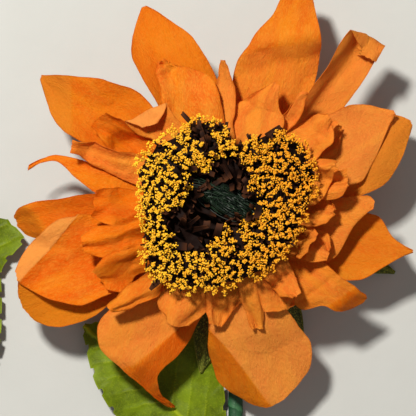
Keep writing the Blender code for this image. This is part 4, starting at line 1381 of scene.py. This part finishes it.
class PetalSettings(bpy.types.PropertyGroup):
    """Sizes and colours of the orange petals."""

    thickness: length("Paper thickness", "Thickness of the crepe paper", 0.2 * MM)
    pleat: length("Pleat depth", "Depth of the soft ridges along a petal", 0.3 * MM)
    swell: length("Swell", "Height of the broad bends in a petal", 1.7 * MM)
    crumple: length("Crumple depth", "Depth of the creases in the small inner petals", 1.5 * MM)
    edge_wave: length("Edge wave", "How far the margins wave up and down", 0.4 * MM)
    torn: length("Torn edge", "Depth of the ragged margin", 0.16 * MM)
    see_through: bpy.props.FloatProperty(name="See-through", default=0.33, min=0.0, max=1.0, subtype="FACTOR",
                                         description="Share of the light that passes the paper")
    paper_colour: colour("Paper", "Main colour of the petals", (0.93, 0.265, 0.004))
    # Colour of the darker streaks, also the painted shade on petal faces turned from the lamp and towards the
    # petals' feet
    deep_streak_and_shade_colour: colour("Deep streaks", "Colour of the darker streaks", (0.85, 0.135, 0.001))
    light_colour: colour("Light fibres", "Colour of the paler fibres", (1.0, 0.5, 0.055))
    golden_colour: colour("Golden", "Colour of the petals where the dye is golden", (0.72, 0.235, 0.008))
    # Painted highlight: the colour of petal faces turned to the lamp
    painted_highlight_colour: colour("Pale", "Colour of the petals where the dye is worn", (1.0, 0.42, 0.09))
    speck_colour: colour("Specks", "Colour of the brown specks and the cut edges", (0.55, 0.11, 0.002))


class MiddleSettings(bpy.types.PropertyGroup):
    """Sizes and colours of the fringed middle."""

    strip_width: length("Strip width", "Width of the dark fringe's strips", 1.1 * MM)
    fringe_colour: colour("Fringe", "Main colour of the fringe", (0.009, 0.0035, 0.0025))
    fringe_light: colour("Fringe light", "Colour of the fringe's paler streaks", (0.12, 0.04, 0.016))
    crumb_colour: colour("Crumbs", "Main colour of the crumbs", (1.0, 0.58, 0.02))
    crumb_deep: colour("Deep crumbs", "Colour of the darker crumbs", (0.72, 0.3, 0.004))
    crumb_light: colour("Light crumbs", "Colour of the palest specks", (1.0, 0.8, 0.14))
    # Random orange tone of the crumbs, and painted shade that grows towards the right, away from the lamp
    crumb_orange_and_shade: colour("Orange crumbs", "Colour of the crumbs dusted with orange", (0.8, 0.25, 0.012))
    tuft_colour: colour("Tuft", "Main colour of the tuft's fibres", (0.003, 0.008, 0.005))
    tuft_light: colour("Tuft light", "Colour of the tuft's paler fibres", (0.016, 0.04, 0.018))


class GreenSettings(bpy.types.PropertyGroup):
    """Sizes and colours of the leaves, the bracts and the stem."""

    vein_spacing: length("Vein spacing", "Distance between a leaf's side veins", 7.5 * MM)
    vein_depth: length("Vein depth", "Depth of a leaf's pressed veins", 0.5 * MM)
    leaf_colour: colour("Leaf", "Main colour of the leaves", (0.15, 0.22, 0.003))
    leaf_light: colour("Leaf light", "Colour of the leaves' veins and specks", (0.36, 0.43, 0.012))
    bract_colour: colour("Bract", "Main colour of the bracts", (0.06, 0.075, 0.008))
    bract_light: colour("Bract light", "Colour of the bracts' specks", (0.3, 0.32, 0.04))
    stem_colour: colour("Stem", "Main colour of the stem's tape", (0.015, 0.085, 0.03))
    stem_light: colour("Stem light", "Colour of the tape's stretched ridges", (0.06, 0.2, 0.08))
    lap: length("Tape turn", "How far the tape moves along the stem in one turn", 6.5 * MM)


class StageSettings(bpy.types.PropertyGroup):
    """The floor and the lamps."""

    floor_colour: colour("Floor", "Colour of the floor", (0.49, 0.5, 0.49))
    key_power: bpy.props.FloatProperty(name="Key lamp", description="Power of the lamp at the top left",
                                       default=13.4, min=0.0, unit="POWER")
    sky: bpy.props.FloatProperty(name="Sky", description="Strength of the light from all round",
                                 default=0.17, min=0.0)


# Operators


class FLOWER_OT_stem(bpy.types.Operator):
    """Wind the tape round the stem and the leaf stalks, and dress the wire and the green ring"""

    bl_idname = "flower.stem"
    bl_label = "Stem"

    def execute(self, context):
        look = settings("flower_greens")
        tape = wound_material("stem_tape", look.stem_colour, look.stem_light)
        FINE_PILE.top[:] = -FINE_GAP
        path = stem_path(*STEM_POINTS)
        wound = wound_tube(path, STEM_RADIUS, STEM_SIDES, look.lap / MM, STEM_TAPE_EDGE, STEM_BORE)
        to_piece(wound, "stem_tape_wrap", ["stem_wrap"], tape)
        for blade, path in leaf_sheets():
            node = f"{blade.name}_stalk"
            stalk = wound_tube(finer_path(path, STALK_STEP), STALK_RADIUS, STALK_SIDES, STALK_TAPE_TURN,
                               STALK_TAPE_EDGE, aside=(0, 0, 1))
            to_piece(stalk, f"{node}_tape", [node], tape)
        upright = [(0, 0, z) for z in np.linspace(CALYX_FOOT, CALYX_TOP, RING_POINTS)]
        ring = wound_tube(upright, CALYX_RADIUS, RING_SIDES, RING_TAPE_TURN, RING_TAPE_EDGE,
                          WIRE_RADIUS + GAP)
        to_piece(ring, "calyx_ring_tape", ["calyx_ring"], tape)
        dress_node("stem_wire", wire_material("iron_wire"))
        return {"FINISHED"}


def distances(path):
    """How far along the path each of its points lies."""
    return np.concatenate([[0], np.cumsum(np.linalg.norm(np.diff(path, axis=0), axis=1))])


def finer_path(path, step):
    """The path through the same points, with a point at every step."""
    path = np.array(path, float)
    far = distances(path)
    at = np.linspace(0, far[-1], int(far[-1] / step))
    return np.stack([smooth_curve(far, path[:, axis], at) for axis in range(3)], axis=-1)


def wound_tube(path, radius, sides, lap, depth, bore=0.0, aside=(1, 0, 0)):
    """A tube wound with tape: each turn's edge stands up a little over the next, with lines between."""
    path = np.array(path, float)
    bm = tube(path, radius - depth, sides, bore, aside)
    bm.verts.ensure_lookup_table()
    far = distances(path)
    sheet, mark = np.zeros((len(bm.verts), 3)), np.zeros((len(bm.verts), 3))
    for index in range(len(path) * sides):
        row, side = divmod(index, sides)
        turn = far[row] / lap + side / sides
        part_way = turn % 1
        ridge = 0.25 * math.sin(side * 2.4 + far[row] * 1.9) + 0.2 * math.sin(far[row] * 4.1 - side)
        rise = depth * (part_way**3 + 0.3 * ridge * (1 - part_way))
        vert = bm.verts[index]
        away = np.array(vert.co) - path[row]
        vert.co = path[row] + away * (1 + rise / (radius - depth))
        sheet[index] = (turn, side / sides * 2, far[row] / 30)
        mark[index] = (part_way, 0, 0)
    paint_points(bm, "sheet", sheet)
    paint_points(bm, "mark", mark)
    return bm


class FLOWER_OT_leaves(bpy.types.Operator):
    """Cut the two green leaves and the bracts behind the head"""

    bl_idname = "flower.leaves"
    bl_label = "Leaves and bracts"

    def execute(self, context):
        look = settings("flower_greens")
        leaf = green_material("leaf_crepe", look.leaf_colour, look.leaf_light, 0.5, 0.2, 0.7)
        bract = green_material("bract_crepe", look.bract_colour, look.bract_light, 0.6, 0.8, 0.3)
        for seed, (blade, _) in enumerate(leaf_sheets(), start=LEAF_SEED):
            bm = cut_finely(blade, RISES[blade.name], LEAF_CUT, seed, "leaf")
            to_piece(bm, f"{blade.name}_blade", [blade.name], leaf)
        for seed, sheet in enumerate(bract_sheets(), start=BRACT_SEED):
            bm = cut_finely(sheet, RISES[sheet.name], BRACT_CUT, seed, "bract")
            to_piece(bm, f"{sheet.name}_blade", [sheet.name], bract)
        return {"FINISHED"}


class FLOWER_OT_petals(bpy.types.Operator):
    """Cut, crease and lay the orange petals, from the lowest up"""

    bl_idname = "flower.petals"
    bl_label = "Petals"

    def execute(self, context):
        paper = petal_material("petal_crepe")
        for seed, sheet in enumerate(petal_sheets()):
            ruffled = seed >= len(OUTER_PETALS)
            cut, kind = (INNER_CUT, "ruffle") if ruffled else (OUTER_CUT, "petal")
            bm = cut_finely(sheet, RISES[sheet.name], cut, seed, kind)
            to_piece(bm, f"{sheet.name}_sheet", [sheet.name], paper)
        return {"FINISHED"}


class FLOWER_OT_fringe(bpy.types.Operator):
    """Cut the dark wound strip into its fringe, and stand its strips up"""

    bl_idname = "flower.fringe"
    bl_label = "Fringe"

    def execute(self, context):
        rng = np.random.default_rng(FRINGE_SEED)
        crusts = {name: surface_of(name) for name in POLLEN_CRUSTS}
        body = {"fringe_roll": surface_of("fringe_roll")}
        variants = [fringe_strip(*kind) for kind in STRIP_KINDS]
        strips = [wound_roll()]
        stand = ring_strips(rng, crusts, body) + hollow_strips(rng, body)
        stand = np.array([*stand, LOOSE_STRIP])
        which = rng.integers(0, len(variants), len(stand))
        width = settings("flower_middle").strip_width / MM / STRIP_WIDTH
        for number, (vertices, triangles, sheet) in enumerate(variants):
            mine = stand[which == number]
            stretch = np.zeros((len(mine), 3, 3))
            stretch[:, 0, 0] = mine[:, 3]
            stretch[:, 1, 1] = width * mine[:, 6]
            stretch[:, 2, 2] = mine[:, 3]
            turns = turn_to(mine[:, 4], mine[:, 5]) @ stretch
            placed = copies((vertices, triangles), turns, mine[:, :3])
            shift = np.repeat(rng.uniform(0, 50, (len(mine), 1)), len(sheet), 0)
            lengths = np.tile(sheet, (len(mine), 1)) * 0.6 + shift
            # How brown each strip shows: low for strips in the crust, painted near black as shade between the
            # crumbs
            tint = np.repeat(rng.uniform(0, 1, len(mine)) * mine[:, 7], len(sheet))
            mark = np.stack([np.tile(sheet[:, 0], len(mine)), tint, np.zeros_like(tint)], axis=-1)
            strips.append((*placed, lengths, mark))
        shapes_to_piece(joined(strips), "fringe_strips", ["fringe_roll"],
                        fringe_material("fringe_crepe"))
        return {"FINISHED"}


def from_polar(degrees, out):
    return out * math.cos(math.radians(degrees)), out * math.sin(math.radians(degrees))


def ring_strips(rng, crusts, body):
    """Strips all round the fringe: (x, y, foot's height, length, facing, lean, width, how brown, which is low
    as painted shade for strips in the crust).
    """
    degrees = rng.uniform(0, 360, RING_STRIPS)
    share = rng.uniform(0.0, RING_SHARE, RING_STRIPS)
    stand = []
    for turn, part_way in zip(degrees, share):
        inner, outer = (float(edge) for edge in fringe_edges(turn))
        x, y = from_polar(turn, inner + part_way * (outer - inner))
        top = height_on(crusts, x, y)[0] or height_on(body, x, y, ROLL_FOOT + FRINGE_RIM)[0] + 1.0
        strip = BARE_STRIP if in_bare_patch(x, y) else CRUSTED_STRIP
        tall = rng.uniform(*strip["length"])
        lean = strip["lean"] * min(part_way, 0.6) - 0.15 + rng.normal(0, 0.2)
        facing = math.radians(turn) + rng.normal(0, 0.5)
        wide = rng.uniform(*strip["width"])
        foot = top - 0.9 * tall - rng.uniform(*strip["sunk"])
        stand.append((x, y, foot, tall, facing, lean, wide, strip["brown_unless_shaded"]))
    return stand


def hollow_strips(rng, body):
    """Wide strips round the inside of the hollow, clear of the tuft, described in the same way."""
    stand = []
    for turn in np.arange(0, 360, 360 / HOLLOW_STRIPS) + rng.uniform(-3, 3, HOLLOW_STRIPS):
        inner = float(fringe_edges(turn)[0])
        x, y = from_polar(turn, inner - rng.uniform(-1.0, 0.5 * inner))
        if math.hypot(x - TUFT_MIDDLE[0], y - TUFT_MIDDLE[1]) < TUFT_SPAN[0]:
            continue
        foot = height_on(body, x, y, ROLL_FOOT + FRINGE_RIM)[0] - HOLLOW_STRIP["sunk"]
        tall = rng.uniform(*HOLLOW_STRIP["length"])
        facing = math.radians(turn) + math.pi + rng.normal(0, 0.8)
        lean, wide = rng.uniform(*HOLLOW_STRIP["lean"]), rng.uniform(*HOLLOW_STRIP["width"])
        stand.append((x, y, foot, tall, facing, lean, wide, HOLLOW_STRIP["brown_unless_shaded"]))
    return stand


def wound_roll():
    """The roll under the fringe, from its solid, with a flute for each strip."""
    bm = bmesh.new()
    bm.from_mesh(bpy.data.objects["fringe_roll"].data)
    bmesh.ops.remove_doubles(bm, verts=bm.verts[:], dist=1e-6)
    bmesh.ops.subdivide_edges(bm, edges=bm.edges[:], cuts=3, use_grid_fill=True)
    bmesh.ops.triangulate(bm, faces=bm.faces[:])
    points = np.array([v.co for v in bm.verts]) / MM - HEAD_AT
    angle, out = np.arctan2(points[:, 1], points[:, 0]), np.hypot(points[:, 0], points[:, 1])
    height = points[:, 2] - points[:, 2].min()
    flutes = FLUTE_DEPTH * (np.abs(np.sin(angle * FLUTES + 0.6 * np.sin(height / 2.5))) - 0.8)
    top = np.clip((height - ROLL_HEIGHT) / 6, 0, 1)
    points[:, :2] *= (1 + flutes * np.clip((out - 6) / 4, 0, 1) / np.maximum(out, 4))[:, None]
    points[:, :2] *= (1 - TOP_DRAWN_IN * top)[:, None]
    points[:, 2] -= TOP_DRAWN_DOWN * top
    move_points(bm, points)
    vertices, triangles = arrays(bm)
    bm.free()
    sheet = np.stack([height / 10, angle * 2, out / 10], axis=-1)
    mark = np.stack([0 * out, 0.15 + 0 * out, 0 * out], axis=-1)
    return vertices, triangles, sheet, mark


class FLOWER_OT_crumbs(bpy.types.Operator):
    """Scatter the yellow crumbs over the fringe's tips"""

    bl_idname = "flower.crumbs"
    bl_label = "Crumbs"

    def execute(self, context):
        rng = np.random.default_rng(CRUMB_SEED)
        crusts = {name: surface_of(name) for name in POLLEN_CRUSTS}

        def allowed(x, y):
            thick = bumps(x, y, 2.2, 3) + 0.7 * bumps(x, y, 1.3, 9)
            if in_bare_patch(x, y) or thick < CLUMP_GAPS:
                return None
            height, name = height_on(crusts, x, y)
            return None if name is None else (height + min(0.0, 1.4 * thick - 0.2), name)

        found = spaced_places(rng, CLUMP_REACH, CLUMP_SPACING, CLUMP_TRIES, allowed)
        crumbs = crumb_material("crumb")
        grain = crumb_grain(rng)
        for name in POLLEN_CRUSTS:
            centres = np.array([place[:3] for place in found if place[3] == name])
            clumps = np.repeat(np.arange(len(centres)), GRAINS)
            away = np.clip(rng.normal(size=(len(clumps), 3)), -1.9, 1.9)
            stretch, turn = rng.uniform(0.7, 1.5, len(centres)), rng.uniform(0, math.pi, len(centres))
            longer = np.repeat(stretch, GRAINS) * away[:, 0]
            along = np.repeat(turn, GRAINS)
            narrow = away[:, 1] / np.repeat(stretch, GRAINS)
            away[:, 0] = longer * np.cos(along) - narrow * np.sin(along)
            away[:, 1] = longer * np.sin(along) + narrow * np.cos(along)
            reach = CLUMP_RADIUS * np.repeat(rng.uniform(0.6, 1.35, len(centres)), GRAINS)
            places = centres[clumps] + away * reach[:, None]
            places[:, 2] += np.repeat(rng.uniform(-1.3, 0.3, len(centres)), GRAINS) - 0.4
            radius = rng.uniform(*GRAIN_RADIUS, len(clumps))
            turns = random_turns(rng, len(clumps)) * radius[:, None, None]
            vertices, triangles = copies(grain, turns, places)
            points = len(grain[0])
            tint = np.clip(rng.normal(*CRUMB_LIGHT, len(clumps)), 0, 1)
            usual, more, scatter, most = CRUMB_ORANGE_AND_SHADE
            # More orange towards the right: painted shade on the side away from the lamp, with a random
            # orange scatter
            orange_and_shade = np.clip(usual + more * places[:, 0] + rng.normal(0, scatter, len(clumps)), 0, most)
            mark = np.repeat(np.stack([tint, orange_and_shade, 0 * tint], axis=-1), points, axis=0)
            shape = (vertices, triangles, mark, mark)
            shapes_to_piece(shape, f"{name}_crumbs", [name], crumbs, smooth=False)
        return {"FINISHED"}


class FLOWER_OT_tuft(bpy.types.Operator):
    """Curl the dark green fibres in the bottom of the hollow"""

    bl_idname = "flower.tuft"
    bl_label = "Tuft"

    def execute(self, context):
        rng = np.random.default_rng(TUFT_SEED)
        low = height_on({"tuft": surface_of("core_tuft")}, *TUFT_MIDDLE)[0] - 2 * TUFT_SPAN[2] + 1.0
        cosine, sine = FIBRE_ASKEW
        shapes = []
        for _ in range(FIBRES):
            start, sweep = rng.uniform(0, 2 * math.pi), rng.uniform(0.8, 3.0) * rng.choice((-1, 1))
            t = np.linspace(0, 1, 10)
            turn = start + sweep * t
            wide = rng.uniform(0.2, 1.15) * (0.5 + 0.5 * t) * (1 - 0.4 * np.sin(3 * t + start))
            stray = rng.normal(0, 1.0, 2)
            x = FIBRE_SPREAD[0] * TUFT_SPAN[0] * wide * np.cos(turn) + stray[0]
            y = FIBRE_SPREAD[1] * TUFT_SPAN[1] * wide * np.sin(turn) + stray[1]
            x, y = TUFT_MIDDLE[0] + cosine * x + sine * y, TUFT_MIDDLE[1] - sine * x + cosine * y
            top = rng.uniform(0.45, 0.95)
            z = low + 2 * TUFT_SPAN[2] * top * np.sin(0.3 + 2.3 * t) * np.sqrt(np.clip(1.3 - wide**2, 0.1, 1))
            radius, aside = rng.uniform(*FIBRE_RADIUS), tuple(rng.normal(size=3))
            fibre = tube(np.stack([x, y, z], axis=-1), radius, sides=4, aside=aside)
            vertices, triangles = arrays(fibre)
            fibre.free()
            tint = np.full(len(vertices), rng.uniform(0, 1) ** 2)
            mark = np.stack([0 * tint, tint, 0 * tint], axis=-1)
            shapes.append((vertices, triangles, mark, mark))
        thread = fibre_material("tuft_thread")
        shapes_to_piece(joined(shapes), "tuft_fibres", ["core_tuft"], thread)
        return {"FINISHED"}


class FLOWER_OT_stage(bpy.types.Operator):
    """Set the pale floor, the lamps, the light from all round and the camera over the head"""

    bl_idname = "flower.stage"
    bl_label = "Stage"

    def execute(self, context):
        look = settings("flower_stage")
        scene = context.scene
        bm = bmesh.new()
        bmesh.ops.create_grid(bm, x_segments=1, y_segments=1, size=FLOOR_HALF)
        mesh = bpy.data.meshes.new("floor")
        bm.to_mesh(mesh)
        bm.free()
        floor = bpy.data.objects.new("floor", mesh)
        floor.location = (0, 0.1, -STEM_RADIUS * MM)
        scene.collection.objects.link(floor)
        made, tree, shader = new_material("floor_paint", roughness=0.8, specular=0.2)
        place = object_place(tree)
        mottle = pattern(tree, place, (60, 60, 60), detail=5.0)
        paler = [min(1.0, 1.06 * part) for part in look.floor_colour]
        finish(tree, shader, mixed(tree, mottle, look.floor_colour, paler), bump(tree, mottle, 0.15, 0.002))
        floor.data.materials.append(made)
        middle = Vector((-STEM_OFFSET, STEM_REACH + WIRE_SHOWS, 10)) * MM
        lamp(scene, "key", middle, KEY_AT, KEY_SIZE, look.key_power, KEY_COLOUR)
        lamp(scene, "fill", middle, FILL_AT, FILL_SIZE, FILL_SHARE * look.key_power, FILL_COLOUR)
        world = bpy.data.worlds.new("room")
        world.use_nodes = True
        back = world.node_tree.nodes["Background"]
        back.inputs["Color"].default_value = (*SKY_COLOUR, 1)
        back.inputs["Strength"].default_value = look.sky
        scene.world = world
        camera = bpy.data.cameras.new("camera")
        scale = FRAME_SCALE * MM
        camera.sensor_width = SENSOR
        camera.lens = SENSOR * CAMERA_HEIGHT / (FRAME_SIDE * scale)
        seat = bpy.data.objects.new("camera", camera)
        half = FRAME_SIDE / 2
        x = HEAD_AT[0] * MM + (half - HEAD_PIXEL[0]) * scale
        y = HEAD_AT[1] * MM - (half - HEAD_PIXEL[1]) * scale
        seat.location = (x, y, PETAL_LEVEL + CAMERA_HEIGHT)
        scene.collection.objects.link(seat)
        scene.camera = seat
        scene.view_settings.view_transform = "Standard"
        return {"FINISHED"}


def lamp(scene, name, target, offset, size, power, color):
    """A square lamp at this offset from the target, which it faces."""
    light = bpy.data.lights.new(name, "AREA")
    light.size = size
    light.energy = power
    light.color = color
    obj = bpy.data.objects.new(name, light)
    obj.location = target + Vector(offset)
    obj.rotation_euler = (-Vector(offset)).to_track_quat("-Z", "Y").to_euler()
    scene.collection.objects.link(obj)


class FLOWER_PT_panel(bpy.types.Panel):
    bl_label = "Paper sunflower"
    bl_space_type = "VIEW_3D"
    bl_region_type = "UI"
    bl_category = "Flower"

    def draw(self, context):
        for name, _ in SETTING_GROUPS:
            group = getattr(context.scene, name)
            box = self.layout.box()
            for key in group.__annotations__:
                box.prop(group, key)
        for operator in OPERATORS:
            self.layout.operator(operator.bl_idname)


SETTING_GROUPS = (
    ("flower_petals", PetalSettings),
    ("flower_middle", MiddleSettings),
    ("flower_greens", GreenSettings),
    ("flower_stage", StageSettings),
)
OPERATORS = (FLOWER_OT_stem, FLOWER_OT_leaves, FLOWER_OT_petals, FLOWER_OT_fringe, FLOWER_OT_crumbs,
             FLOWER_OT_tuft, FLOWER_OT_stage)
CLASSES = (*(group for _, group in SETTING_GROUPS), *OPERATORS, FLOWER_PT_panel)


def register():
    for cls in CLASSES:
        bpy.utils.register_class(cls)
    for name, group in SETTING_GROUPS:
        setattr(bpy.types.Scene, name, bpy.props.PointerProperty(type=group))


def unregister():
    for name, _ in SETTING_GROUPS:
        delattr(bpy.types.Scene, name)
    for cls in reversed(CLASSES):
        bpy.utils.unregister_class(cls)


def main():
    register()
    bpy.ops.flower.stem()
    bpy.ops.flower.leaves()
    bpy.ops.flower.petals()
    bpy.ops.flower.fringe()
    bpy.ops.flower.crumbs()
    bpy.ops.flower.tuft()
    bpy.ops.flower.stage()


RISES = heights_in_pile()
FINE_PILE = Pile(half_side=STEM_REACH + 40)

if __name__ == "__main__":
    main()
